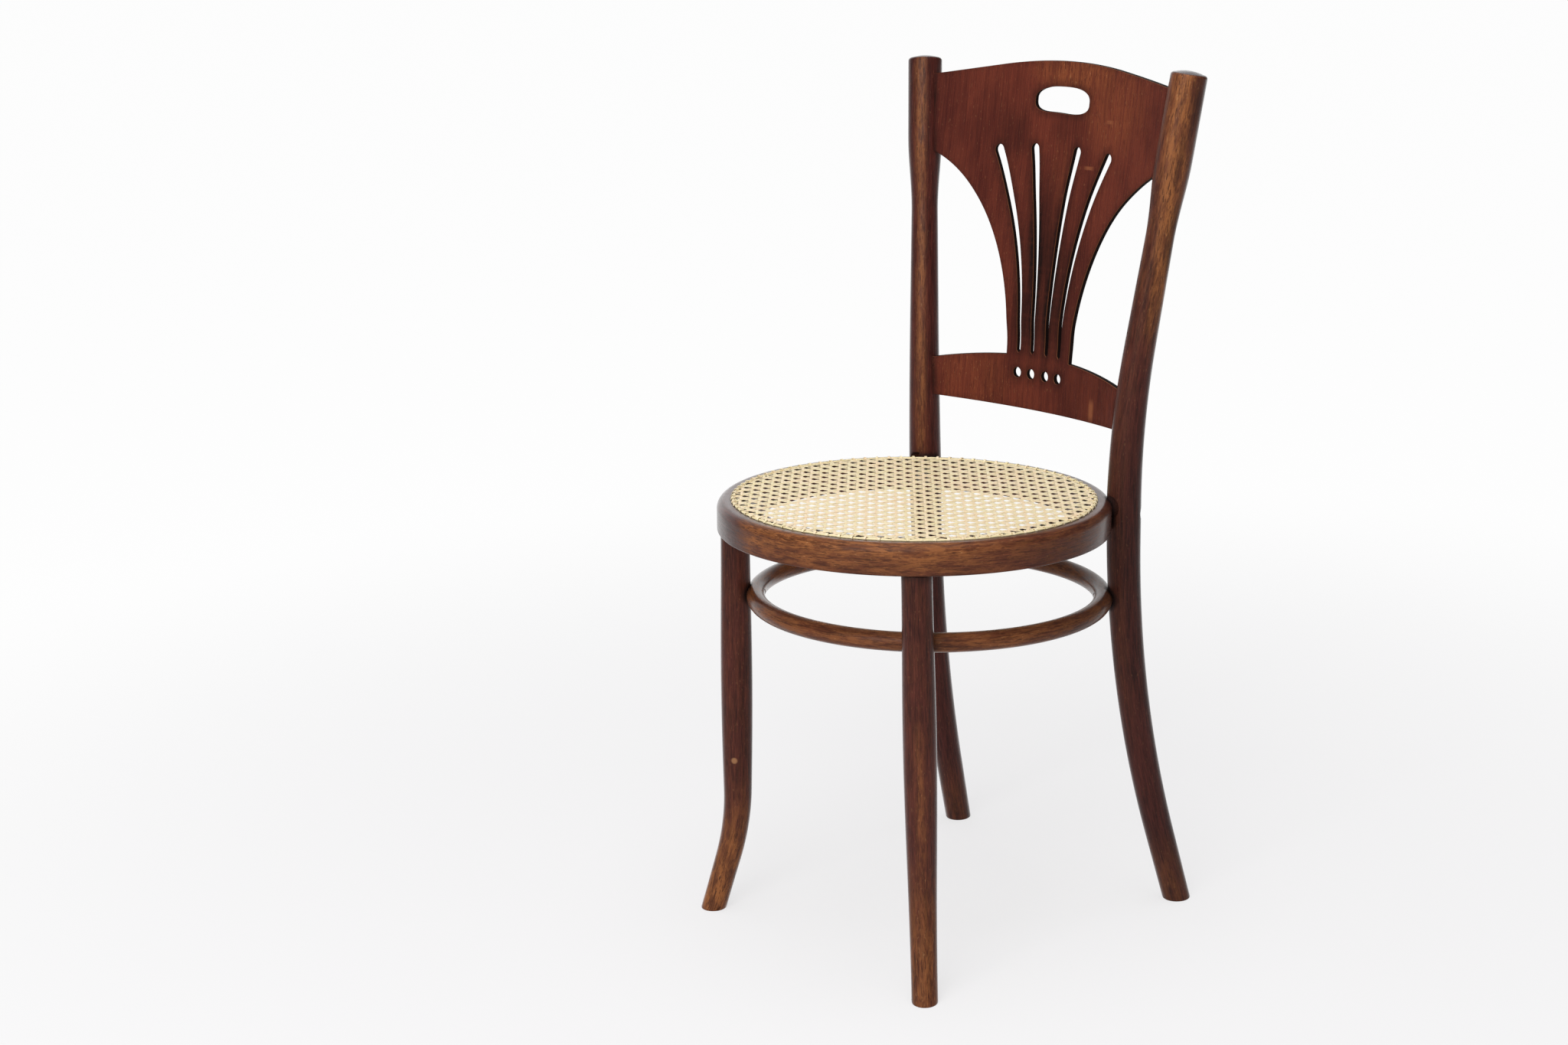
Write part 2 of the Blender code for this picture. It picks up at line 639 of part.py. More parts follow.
def make_screws(seat_plane, stretcher_plane, radius, middle, seat_ring, stretcher, legs, steel):
    """Countersunk screws from inside the hoop into each leg, and from inside the ring into each tenon."""
    sizes = SCREW_DIAMETER / 2, SCREW_HEAD_DIAMETER / 2, SCREW_HEAD_DEPTH
    across = SCREW_HEAD_DIAMETER * 2
    long = slotted("stretcher_screw", turned(screw_profile(*sizes, STRETCHER_SCREW_LENGTH)), across)
    short = slotted("leg_screw", turned(screw_profile(*sizes, LEG_SCREW_LENGTH)), across)
    z = SEAT_UNDERSIDE - STRETCHER_DROP
    for (row, side), leg in legs.items():
        word = "left" if side == LEFT else "right"
        place_of = leg_centre(z) if row == "front" else post_centre(z)
        out = Vector((side * place_of.x, place_of.y - middle, 0)).normalized()
        drive(
            f"stretcher_screw_{row}_{word}", long,
            lambda: turned(hole_profile(*sizes, SCREW_SINK, STRETCHER_SCREW_LENGTH), loose=CLEARANCE),
            out * (radius - STRETCHER_DIAMETER / 2 + SCREW_SINK), out,
            stretcher_plane, (stretcher, leg), steel,
        )
    for side, word in ((LEFT, "left"), (RIGHT, "right")):
        out = Vector((side * sin(LEG_BEARING), -cos(LEG_BEARING), 0))
        drive(
            f"leg_screw_{word}", short,
            lambda: turned(hole_profile(*sizes, SCREW_SINK, LEG_SCREW_LENGTH), loose=CLEARANCE),
            out * (RING_INNER_RADIUS + SCREW_SINK) + Vector((0, 0, TENON_LENGTH / 2)), out,
            seat_plane, (seat_ring, legs["front", side]), steel,
        )


def make_panel_pins(chair, panel, posts, steel):
    """A brad from the back of each post through each tongue of the panel."""
    low, high, top = meet_post(rail_bottom_edge), meet_post(rail_top_edge), meet_post(crest_edge)
    radius = PIN_DIAMETER / 2
    profile = [(radius, 0), (radius, PIN_LENGTH - 2 * radius), (radius / 4, PIN_LENGTH)]
    pin = mesh_of("panel_pin", turned(profile, 8))
    hole = [(radius, -2 * PIN_SINK), (radius, PIN_LENGTH + 2 * CLEARANCE)]
    for level, z in (("lower", (low + high) / 2), ("upper", (shoulder_edge()[-1][1] + top) / 2)):
        inset = post_radius(z) - GROOVE_DEPTH / 2
        back = post_centre(z).y + sqrt(post_radius(z) ** 2 - inset**2) - PIN_SINK
        for side, word in ((LEFT, "left"), (RIGHT, "right")):
            drive(
                f"panel_pin_{level}_{word}", pin, lambda: turned(hole, 8, CLEARANCE),
                (side * (post_centre(z).x - inset), back, z), (0, -1, 0), chair, (panel, posts[side]), steel,
            )


def make_chair():
    clear_scene()
    wood = finish("stained_beech", (0.10, 0.035, 0.018), 0.38)
    veneer = finish("stained_veneer", (0.13, 0.038, 0.018), 0.36)
    cane = finish("woven_cane", (0.72, 0.56, 0.32), 0.55)
    steel = finish("dark_steel", (0.16, 0.15, 0.14), 0.45, 1.0)
    depth_middle = (post_centre(0).y + post_radius(0) - SEAT_RADIUS) / 2
    chair = new_empty("chair", location=(0, -depth_middle, 0))
    seat_plane = new_empty("seat_plane", chair, (0, 0, SEAT_UNDERSIDE), -SEAT_SLOPE)
    middle, radius = stretcher_circle()
    hoop_height = SEAT_UNDERSIDE - STRETCHER_DROP
    stretcher_plane = new_empty("stretcher_plane", chair, (0, middle, hoop_height), -SEAT_SLOPE)
    seat_ring = make_seat_ring(seat_plane, wood)
    make_cane(seat_plane, cane)
    legs, posts = {}, {}
    for side in (LEFT, RIGHT):
        legs["front", side] = make_front_leg(side, chair, seat_ring, wood)
        posts[side] = make_rear_post(side, chair, seat_plane, wood)
        legs["rear", side] = posts[side]
    stretcher = make_stretcher(stretcher_plane, radius, legs, wood)
    panel = make_panel(chair, veneer)
    make_post_bolts(seat_plane, seat_ring, posts, steel)
    make_screws(seat_plane, stretcher_plane, radius, middle, seat_ring, stretcher, legs, steel)
    make_panel_pins(chair, panel, posts, steel)


make_chair()
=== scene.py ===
# %% [markdown]
# A bentwood side chair
# This lesson dresses the plain solids of a bentwood chair until it looks like an old, well-used one.
# The real chair is made of turned beech bars that were steamed and bent, a seat ring with a woven cane seat,
# and a back cut from one bent sheet of plywood. Each of those pieces is modelled here at its real size,
# in metres.

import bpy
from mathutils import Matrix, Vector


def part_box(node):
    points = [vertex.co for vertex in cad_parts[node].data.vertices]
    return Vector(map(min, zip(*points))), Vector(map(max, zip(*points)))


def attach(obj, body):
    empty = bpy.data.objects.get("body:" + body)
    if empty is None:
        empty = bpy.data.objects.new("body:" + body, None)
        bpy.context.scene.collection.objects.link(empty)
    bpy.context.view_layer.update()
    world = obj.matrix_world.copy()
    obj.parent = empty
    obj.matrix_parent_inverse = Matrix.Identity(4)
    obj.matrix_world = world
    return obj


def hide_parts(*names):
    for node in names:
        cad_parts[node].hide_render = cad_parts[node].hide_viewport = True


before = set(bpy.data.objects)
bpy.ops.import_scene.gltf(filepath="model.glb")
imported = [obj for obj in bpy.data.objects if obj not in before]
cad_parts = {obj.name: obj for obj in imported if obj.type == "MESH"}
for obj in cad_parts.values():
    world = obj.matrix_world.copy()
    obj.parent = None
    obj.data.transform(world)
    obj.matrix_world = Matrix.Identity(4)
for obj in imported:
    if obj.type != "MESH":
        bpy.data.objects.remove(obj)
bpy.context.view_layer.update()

# %% Tools for the lesson
from math import atan2, copysign, cos, hypot, pi, radians, sin, sqrt, tan

import bpy
import numpy as np
from mathutils import Matrix, Vector

LEFT, RIGHT = -1, 1
WORDS = {LEFT: "left", RIGHT: "right"}
UP = Vector((0, 0, 1))


def hold(piece):
    """Takes one piece in hand and lets go of all others."""
    bpy.ops.object.select_all(action="DESELECT")
    piece.select_set(True)
    bpy.context.view_layer.objects.active = piece


bpy.ops.object.select_all(action="DESELECT")
print("nodes in the frame:", len(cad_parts))

# %% [markdown]
# Camera
# The photograph was taken from the chair's front right, from a little above its crest, with a 59 mm lens.
# A camera can be turned by hand until it looks right, or worked out from measured points of the chair.
# It was worked out from such points, so it is given as a bearing, a reach and a height, then panned, tilted
# and rolled.

# %% Camera at the photograph's angle
PHOTO_WIDTH = 2048
FOCAL_PIXELS = 3329.6
SENSOR = 36.0
SEAT_SLOPE = radians(1.8)
RING_HEIGHT = 0.031
ring_low, ring_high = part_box("seat_ring")
SEAT_AXIS = (ring_low.y + ring_high.y) / 2 - RING_HEIGHT / 2 * sin(SEAT_SLOPE)
view_bearing, view_reach, view_height = radians(46.709), 2.5104, 1.0986
pan, tilt, roll = radians(3.007), radians(14.918), radians(-1.815)

ahead = Vector((-sin(view_bearing), cos(view_bearing), 0))
across = Vector((cos(view_bearing), sin(view_bearing), 0))
upward = UP
ahead, across = ahead * cos(pan) - across * sin(pan), across * cos(pan) + ahead * sin(pan)
ahead, upward = ahead * cos(tilt) - upward * sin(tilt), upward * cos(tilt) + ahead * sin(tilt)
across, upward = across * cos(roll) + upward * sin(roll), upward * cos(roll) - across * sin(roll)

bpy.ops.object.camera_add()
camera = bpy.context.object
camera.name = "photo_camera"
camera.data.sensor_width = SENSOR
camera.data.lens = FOCAL_PIXELS / PHOTO_WIDTH * SENSOR
stand = Vector((sin(view_bearing) * view_reach, SEAT_AXIS - cos(view_bearing) * view_reach, view_height))
camera.matrix_world = Matrix.Translation(stand) @ Matrix((across, upward, -ahead)).transposed().to_4x4()
bpy.context.scene.camera = camera
print("camera at", [round(v, 3) for v in stand], "lens", round(camera.data.lens, 2), "mm")

# %% [markdown]
# Shader maths
# A finish is a small network of nodes. Drawn by hand it is a web of wires, and written out node by node
# it is long. A small class that wraps one wire lets it be written as sums, such as 1 - mask * 0.5.

# %% A wire that can be added and multiplied
class Wire:
    """One value, colour or vector inside a material, with its maths written as plain operators."""

    def __init__(self, tree, socket=None):
        self.tree = tree
        self.socket = socket

    def node(self, kind, settings, sockets, output=0):
        """Adds a node: its settings first, then the values or wires of its sockets."""
        made = self.tree.nodes.new(kind)
        for name, value in settings.items():
            setattr(made, name, value)
        for key, value in sockets.items():
            if isinstance(value, Wire):
                self.tree.links.new(value.socket, made.inputs[key])
            else:
                made.inputs[key].default_value = value
        return Wire(self.tree, made.outputs[output])

    def maths(self, operation, *values):
        return self.node("ShaderNodeMath", {"operation": operation}, dict(enumerate(values)))

    def __add__(self, other):
        return self.maths("ADD", self, other)

    def __mul__(self, other):
        return self.maths("MULTIPLY", self, other)

    def __sub__(self, other):
        return self.maths("SUBTRACT", self, other)

    def __rsub__(self, other):
        return self.maths("SUBTRACT", other, self)

    __radd__ = __add__
    __rmul__ = __mul__

    def most(self, other):
        return self.maths("MAXIMUM", self, other)

    def size(self):
        """The value without its sign."""
        return self.maths("ABSOLUTE", self)

    def part(self, axis):
        """The X, Y or Z of this vector."""
        return self.node("ShaderNodeSeparateXYZ", {}, {0: self}, axis)

    def between(self, low, high):
        """0 below low, 1 above high, and smooth in between."""
        settings = {"interpolation_type": "SMOOTHSTEP"}
        return self.node("ShaderNodeMapRange", settings, {0: self, 1: low, 2: high})

    def stretched(self, x, y, z):
        return self.node("ShaderNodeVectorMath", {"operation": "MULTIPLY"}, {0: self, 1: (x, y, z)})

    def noise(self, x, y, z, detail=3.0, roughness=0.55):
        """Soft noise on this vector, with so many patches to the metre along each axis."""
        sockets = {"Vector": self.stretched(x, y, z), "Scale": 1.0, "Detail": detail, "Roughness": roughness}
        return self.node("ShaderNodeTexNoise", {}, sockets)

    def mix(self, first, second):
        """This mask chooses between two colours: the first where it is 0, the second where it is 1."""
        return self.node("ShaderNodeMix", {"data_type": "RGBA"}, {0: self, 6: first, 7: second}, 2)

    def bump(self, strength, distance):
        sockets = {"Strength": strength, "Distance": distance, "Height": self}
        return self.node("ShaderNodeBump", {}, sockets)

    def painted(self, name, output="Fac"):
        """What a piece carries under a name: a painted amount, or a vector."""
        return self.node("ShaderNodeAttribute", {"attribute_name": name}, {}, output)

    def feed(self, shader, name):
        """Links this wire to an input of a shader."""
        self.tree.links.new(self.socket, shader.inputs[name])


def new_finish(name):
    """A material with its shader, and a loose wire to start its network from."""
    material = bpy.data.materials.new(name)
    material.use_nodes = True
    shader = material.node_tree.nodes["Principled BSDF"]
    return material, shader, Wire(material.node_tree)


def colour(red, green, blue):
    return (red, green, blue, 1.0)


print("shader maths ready")

# %% [markdown]
# Floor and light
# The chair stands in a white studio. A white room could be built, but one pale floor and a bright sky
# are enough. The floor takes the chair's soft shadow, and where it is seen it is lifted towards white,
# as an overexposed studio floor is. The sky is white where it is seen. As in a studio, the white backdrop
# stands behind the chair and the room on the camera's side is dim, so varnish mirrors white at its
# edges and stays deep in front.

# %% Floor
NEAR_CHAIR, FAR_OFF = 0.25, 1.9
bpy.ops.mesh.primitive_plane_add(size=60)
floor = bpy.context.object
floor.name = "studio_floor"

floor_finish, floor_shader, wire = new_finish("studio_white")
floor_shader.inputs["Base Color"].default_value = colour(0.84, 0.835, 0.84)
floor_shader.inputs["Roughness"].default_value = 0.9
floor_shader.inputs["Specular IOR Level"].default_value = 0.1
place = wire.node("ShaderNodeTexCoord", {}, {}, "Object")
reach = wire.node("ShaderNodeVectorMath", {"operation": "LENGTH"}, {0: place}, "Value")
# Nearer the chair the floor is lifted less and glows greyer, a painted shade round the chair.
far = reach.between(NEAR_CHAIR, FAR_OFF)
glow_colour = far.mix(colour(0.93, 0.925, 0.932), colour(1.0, 1.0, 1.0))
glow = wire.node("ShaderNodeEmission", {}, {"Color": glow_colour, "Strength": 1.0})


def ray(start, kind):
    """1 for one kind of ray, such as those from the camera or those that a mirror passes on."""
    return start.node("ShaderNodeLightPath", {}, {}, f"Is {kind} Ray")


base = Wire(wire.tree, floor_shader.outputs[0])
seen = ray(wire, "Camera").most(ray(wire, "Glossy")).most(ray(wire, "Transmission"))
lifted = wire.node("ShaderNodeMixShader", {}, {0: seen * (0.74 + far * 0.23), 1: base, 2: glow})
lifted.feed(wire.tree.nodes["Material Output"], "Surface")
floor.data.materials.append(floor_finish)
print("floor", floor.dimensions.x, "m wide")

# %% Sky
WALL_TURN, DIM_ROOM, SKY_LIGHT = 0.35, 0.12, 0.36
sky = bpy.data.worlds.new("studio_sky")
sky.use_nodes = True
bpy.context.scene.world = sky
wire = Wire(sky.node_tree)
backdrop = sky.node_tree.nodes["Background"]
backdrop.inputs["Color"].default_value = colour(1.0, 1.0, 1.0)
facing = wire.node("ShaderNodeTexCoord", {}, {}, "Generated")
away = (-sin(view_bearing + WALL_TURN), cos(view_bearing + WALL_TURN), 0)
behind = wire.node("ShaderNodeVectorMath", {"operation": "DOT_PRODUCT"}, {0: facing, 1: away}, "Value")
white_wall = behind.between(0.45, 0.95)
mirrored = ray(wire, "Glossy") * (DIM_ROOM + white_wall * (1 - DIM_ROOM))
straight_on = ray(wire, "Camera").most(ray(wire, "Transmission"))
lighting = (1 - ray(wire, "Glossy")) * SKY_LIGHT
strength = straight_on.most(mirrored).most(lighting)
strength.feed(backdrop, "Strength")
print("sky with a white wall behind the chair")

# %% Lamps
def softbox(name, power, size, place, aim):
    """A square lamp that looks at a point."""
    bpy.ops.object.light_add(type="AREA", location=place)
    lamp = bpy.context.object
    lamp.name = name
    lamp.data.energy = power
    lamp.data.size = size
    lamp.rotation_euler = (Vector(aim) - Vector(place)).to_track_quat("-Z", "Y").to_euler()
    print(name, "of", power, "watts")


softbox("key_softbox", 44.0, 1.3, (1.4, -2.3, 2.2), (0, 0, 0.5))
softbox("front_softbox", 24.0, 0.8, (0.6, -3.2, 1.5), (0, 0, 0.7))
softbox("roof_softbox", 42.0, 2.0, (0.2, -0.3, 3.2), (0, 0, 0.4))
bpy.context.scene.view_settings.view_transform = "Standard"

# %% [markdown]
# Bent bars
# Each leg and post of the real chair is turned as a straight bar on a lathe, steamed until it is soft,
# and bent. It could be lofted along its curve at once, but here it is made in the workshop's own order:
# a disc is extruded ring by ring into a straight blank, and the blank is then bent on to its centre line.
# Wood grain runs along the bar, so each corner also remembers where it was before the bending.

# %% Curves
def bend(run, length, angle):
    """How far a bar has moved sideways after a run that eases from straight to an angle."""
    if run <= 0:
        return 0.0
    if run < length:
        return run * run * tan(angle) / (2 * length)
    return (run - length / 2) * tan(angle)


def ease(start, end, share):
    """A smooth change from start to end as share goes from 0 to 1."""
    share = min(max(share, 0.0), 1.0)
    return start + (end - start) * (1 - cos(pi * share)) / 2


def spaced(start, end, count):
    return [start + (end - start) * i / (count - 1) for i in range(count)]


print("curves ready")

# %% Lathe and steam box
HALF_STEP = 0.002


def turn_blank(name, heights, radii, sides=36):
    """A straight round bar about the Z axis, extruded ring by ring."""
    bpy.ops.object.select_all(action="DESELECT")
    start = (0, 0, heights[0])
    bpy.ops.mesh.primitive_circle_add(vertices=sides, radius=radii[0], fill_type="NGON", location=start)
    blank = bpy.context.object
    blank.name = name
    bpy.ops.object.transform_apply(location=True)
    bpy.ops.object.mode_set(mode="EDIT")
    bpy.ops.mesh.select_all(action="SELECT")
    for low, high, thin, thick in zip(heights, heights[1:], radii, radii[1:]):
        bpy.ops.mesh.extrude_region_move(TRANSFORM_OT_translate={"value": (0, 0, high - low)})
        grow = thick / thin
        bpy.ops.transform.resize(value=(grow, grow, 1), center_override=(0, 0, high))
    bpy.ops.mesh.select_all(action="SELECT")
    bpy.ops.mesh.normals_make_consistent(inside=False)
    bpy.ops.object.mode_set(mode="OBJECT")
    return blank


def spot_on(centre, side, z):
    """Where a bar's centre line is at height z, and which way the bar runs there."""
    spot = centre(z)
    run = centre(z + HALF_STEP) - centre(z - HALF_STEP)
    run.normalize()
    return Vector((side * spot.x, spot.y + SEAT_AXIS, spot.z)), Vector((side * run.x, run.y, run.z))


def bend_bar(bar, centre, side):
    """Moves each ring of a straight bar on to the bent centre line, square to it."""
    for corner in bar.data.vertices:
        spot, run = spot_on(centre, side, corner.co.z)
        offset = Vector((corner.co.x, corner.co.y, 0))
        offset.rotate(UP.rotation_difference(run))
        corner.co = spot + offset


def note(piece, name, vector_of):
    """Writes a vector on each corner of a piece, worked out from where the corner is."""
    layer = piece.data.attributes.new(name, "FLOAT_VECTOR", "POINT")
    for corner in piece.data.vertices:
        layer.data[corner.index].vector = vector_of(corner.co)


def note_straight(bar, centre, side, grain):
    """Writes where each corner was in the straight blank, shifted to give each bar a grain of its own."""
    def in_blank(corner):
        z = corner.z
        for _ in range(4):
            spot, run = spot_on(centre, side, z)
            z += (corner - spot).dot(run) * run.z
        offset = corner - spot
        offset.rotate(run.rotation_difference(UP))
        return offset.x, offset.y, z + grain

    note(bar, "straight", in_blank)


print("lathe and steam box ready")

# %% Saw, chisel, drill and last touches
SAWN_EDGE, ONE_SPOT = 0.0012, 0.000001
HAIR, PLAY = 0.0002, 0.0003


def pick(piece, wanted):
    """In edit mode, selects only the faces that the test wants."""
    bpy.ops.object.mode_set(mode="OBJECT")
    hold(piece)
    bpy.ops.object.mode_set(mode="EDIT")
    bpy.ops.mesh.select_mode(type="FACE")
    bpy.ops.mesh.select_all(action="DESELECT")
    bpy.ops.object.mode_set(mode="OBJECT")
    for face in piece.data.polygons:
        face.select = wanted(face)
    bpy.ops.object.mode_set(mode="EDIT")


def saw_off(piece, point, normal):
    """Cuts the piece at a plane, keeps what lies ahead of it, closes the cut and eases its edge."""
    pick(piece, lambda face: True)
    bpy.ops.mesh.bisect(plane_co=point, plane_no=normal, use_fill=True, clear_inner=True)
    cut = -Vector(normal)
    pick(piece, lambda face: face.normal.dot(cut) > 0.999 and len(face.vertices) > 8)
    bpy.ops.mesh.bevel(offset=SAWN_EDGE, segments=3, affect="EDGES")
    bpy.ops.object.mode_set(mode="OBJECT")


def chisel(piece, cutter):
    """Takes the cutter's shape out of the piece, then throws the cutter away."""
    hold(piece)
    bpy.ops.object.modifier_add(type="BOOLEAN")
    boolean = piece.modifiers[-1]
    boolean.operation = "DIFFERENCE"
    boolean.solver = "EXACT"
    boolean.object = cutter
    bpy.ops.object.modifier_apply(modifier=boolean.name)
    bpy.data.objects.remove(cutter)


def close_slivers(piece):
    """Joins the corners that fall on one spot where two cuts meet."""
    pick(piece, lambda face: True)
    bpy.ops.mesh.remove_doubles(threshold=ONE_SPOT)
    bpy.ops.object.mode_set(mode="OBJECT")


def drill(piece, end, way_in, radius, reach):
    """Bores a round hole that comes in from a direction and ends at a place."""
    bpy.ops.object.select_all(action="DESELECT")
    turn = way_in.to_track_quat("Z", "Y").to_euler()
    middle = end + way_in * reach / 2
    bpy.ops.mesh.primitive_cylinder_add(
        vertices=24, radius=radius, depth=reach, location=middle, rotation=turn,
    )
    chisel(piece, bpy.context.object)


def face_outwards(piece):
    """Turns every face of a closed piece to the outside."""
    pick(piece, lambda face: True)
    bpy.ops.mesh.normals_make_consistent(inside=False)
    bpy.ops.object.mode_set(mode="OBJECT")


def hand_over(piece, nodes, smooth=35):
    """Smooths a finished piece, sets its place in its mesh and gives it to the frame."""
    hold(piece)
    bpy.ops.object.transform_apply(location=True, rotation=True, scale=True)
    bpy.ops.object.shade_smooth_by_angle(angle=radians(smooth))
    piece.data.name = piece.name
    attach(piece, "root")
    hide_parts(*nodes)
    print(piece.name, "has", len(piece.data.polygons), "faces")


print("saw, chisel and drill ready")

# %% [markdown]
# Seat and hoop planes
# The seat ring and the hoop below it both slope a little down towards the back, as such seats do.
# Each could be drawn on its slope, but it is easier to model it flat about its own upright axis
# and then to set it in place with one tilt.

# %% Where the ring and the hoop sit
SEAT_RADIUS = 0.200
SEAT_UNDERSIDE = 0.4223
seat_tilt = Matrix.Rotation(-SEAT_SLOPE, 4, "X")
seat_place = Matrix.Translation((0, SEAT_AXIS, SEAT_UNDERSIDE)) @ seat_tilt
hoop_low, hoop_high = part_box("stretcher_ring")
HOOP_THICKNESS = 0.0195
hoop_radius = (hoop_high.x - hoop_low.x - HOOP_THICKNESS) / 2
hoop_place = Matrix.Translation((hoop_low + hoop_high) / 2) @ seat_tilt
print("hoop radius", round(hoop_radius, 4), "at", [round(v, 4) for v in hoop_place.translation])

# %% Hoops spun from an outline
SPUN_WELD = 0.00001


def set_in_place(piece, matrix):
    hold(piece)
    piece.matrix_world = matrix
    bpy.ops.object.transform_apply(location=True, rotation=True, scale=True)


def oval(middle, reach, rise, count):
    """Points round an oval, from its middle, its half width and its half height."""
    turns = spaced(0, 2 * pi, count + 1)[:-1]
    return [(middle[0] + reach * cos(t), middle[1] + rise * sin(t)) for t in turns]


def join(pieces):
    """Makes one piece of several, under the first one's name."""
    hold(pieces[0])
    for piece in pieces[1:]:
        piece.select_set(True)
    if len(pieces) > 1:
        bpy.ops.object.join()
    return pieces[0]


def draw_loops(name, loops):
    """Draws closed lines, each a circle with its corners moved, and leaves them selected in edit mode."""
    lines = []
    for loop in loops:
        bpy.ops.object.select_all(action="DESELECT")
        bpy.ops.mesh.primitive_circle_add(vertices=len(loop), fill_type="NOTHING", calc_uvs=False)
        lines.append(bpy.context.object)
        for corner, point in zip(lines[-1].data.vertices, loop):
            corner.co = point
    drawing = join(lines)
    drawing.name = name
    bpy.ops.object.mode_set(mode="EDIT")
    bpy.ops.mesh.select_all(action="SELECT")
    return drawing


def spin_profile(name, points, steps):
    """A hoop about Z: a closed outline of (radius, height) pairs, spun all the way round and welded."""
    hoop = draw_loops(name, [[(r, 0, z) for r, z in points]])
    bpy.ops.mesh.spin(steps=steps, angle=2 * pi, center=(0, 0, 0), axis=(0, 0, 1))
    bpy.ops.mesh.select_all(action="SELECT")
    bpy.ops.mesh.remove_doubles(threshold=SPUN_WELD)
    bpy.ops.mesh.normals_make_consistent(inside=False)
    bpy.ops.object.mode_set(mode="OBJECT")
    return hoop


def note_hoop(hoop, middle, radius, grain):
    """Writes where each corner of a hoop was in the straight strip that it was bent from."""
    layer = hoop.data.attributes.new("straight", "FLOAT_VECTOR", "CORNER")
    turn_back = middle.inverted()
    for face in hoop.data.polygons:
        centre = turn_back @ face.center
        facing = atan2(centre.y, centre.x)
        for loop in face.loop_indices:
            corner = turn_back @ hoop.data.vertices[hoop.data.loops[loop].vertex_index].co
            swing = atan2(corner.y, corner.x) - facing
            swing = (swing + pi) % (2 * pi) - pi
            along = (facing + swing) * radius
            layer.data[loop].vector = (hypot(corner.x, corner.y) - radius, corner.z, along + grain)


print("hoop tools ready")

# %% [markdown]
# Front legs
# The front legs are slim turned bars, fullest below the middle, that flare outwards at the foot.
# Their tops are cut to the slope of the seat and their feet to the floor. A blank of the right length
# could be bent, but as in the workshop it is left a little long, and sawn clean after the bending.

# %% Front legs
LEG_BEARING, LEG_SPLAY = radians(47.4), radians(1.455)
LEG_TOP, LEG_BELLY, LEG_FOOT = 0.030, 0.033, 0.026
LEG_BELLY_HEIGHT = 0.26
SPARE, LEG_GRAIN = 0.012, 3.0
LEG_TOP_RADIUS = SEAT_RADIUS - 0.0165
FLARE_HEIGHT, FLARE_BEND, FLARE_ANGLE = 0.135, 0.075, radians(15.642)


def leg_centre(z):
    reach = LEG_TOP_RADIUS + tan(LEG_SPLAY) * (SEAT_UNDERSIDE - z)
    reach += bend(FLARE_HEIGHT - z, FLARE_BEND, FLARE_ANGLE)
    return Vector((reach * sin(LEG_BEARING), -reach * cos(LEG_BEARING), z))


def leg_radius(z):
    if z > LEG_BELLY_HEIGHT:
        share = (z - LEG_BELLY_HEIGHT) / (SEAT_UNDERSIDE - LEG_BELLY_HEIGHT)
        return ease(LEG_BELLY, LEG_TOP, share) / 2
    return ease(LEG_FOOT, LEG_BELLY, z / LEG_BELLY_HEIGHT) / 2


def hoop_cutter():
    """The hoop's shape, a hair larger, for the seats that are cut for it in the legs."""
    thick = HOOP_THICKNESS / 2 + HAIR
    cutter = spin_profile("hoop_cutter", oval((hoop_radius, 0), thick, thick, 32), 128)
    set_in_place(cutter, hoop_place)
    return cutter


legs = {}
for side in (LEFT, RIGHT):
    # The rings lie closer together near the seat.
    heights = spaced(-SPARE, 0.32, 48) + spaced(0.323, SEAT_UNDERSIDE + SPARE, 38)
    leg = turn_blank(f"turned_leg_{WORDS[side]}", heights, [leg_radius(z) for z in heights])
    bend_bar(leg, leg_centre, side)
    saw_off(leg, (0, 0, 0), (0, 0, 1))
    seat_up = seat_tilt @ UP
    saw_off(leg, seat_place.translation - seat_up * HAIR, -seat_up)
    chisel(leg, hoop_cutter())
    note_straight(leg, leg_centre, side, LEG_GRAIN + side)
    hand_over(leg, [f"front_leg_{WORDS[side]}"])
    legs[side] = leg

# %% [markdown]
# Rear posts
# Each rear post is back leg and back upright in one bar. It is fullest where the seat ring is bolted on,
# slim at the waist, full again at the head, and its end is rounded over. The seat ring sits in a notch,
# which has opened at the front into a dark gap. A bolt is sunk in the outer side, and two brads in the back.
# The notch could be drawn into the bar, but a cutter spun from the ring's own section fits by itself.

# %% Shape of a rear post
BACK_HEIGHT = 0.4486
POST_TOP = SEAT_UNDERSIDE + BACK_HEIGHT
LEAN_BEARING, LEAN_BEND, LEAN_ANGLE = radians(39.7), 0.184, radians(9.926)
KICK_BEARING, KICK_DROP, KICK_BEND, KICK_ANGLE = radians(17.9), 0.022, 0.32, radians(15.376)
POST_FOOT, POST_SEAT, POST_WAIST, POST_HEAD = 0.0283, 0.0350, 0.0284, 0.0363
POST_BEARING, NOTCH = radians(42.9), 0.0044
POST_SEAT_REACH = SEAT_RADIUS + POST_SEAT / 2 - NOTCH
POST_WAIST_HEIGHT, POST_HEAD_HEIGHT = POST_TOP - 0.1595, POST_TOP - 0.0815
CROWN, DOME, POST_GRAIN = 0.0036, 0.0024, 8.0


def post_centre(z):
    lean = bend(z - SEAT_UNDERSIDE, LEAN_BEND, LEAN_ANGLE)
    kick = bend(SEAT_UNDERSIDE - KICK_DROP - z, KICK_BEND, KICK_ANGLE)
    x = POST_SEAT_REACH * sin(POST_BEARING) + lean * sin(LEAN_BEARING) + kick * sin(KICK_BEARING)
    y = POST_SEAT_REACH * cos(POST_BEARING) + lean * cos(LEAN_BEARING) + kick * cos(KICK_BEARING)
    return Vector((x, y, z))


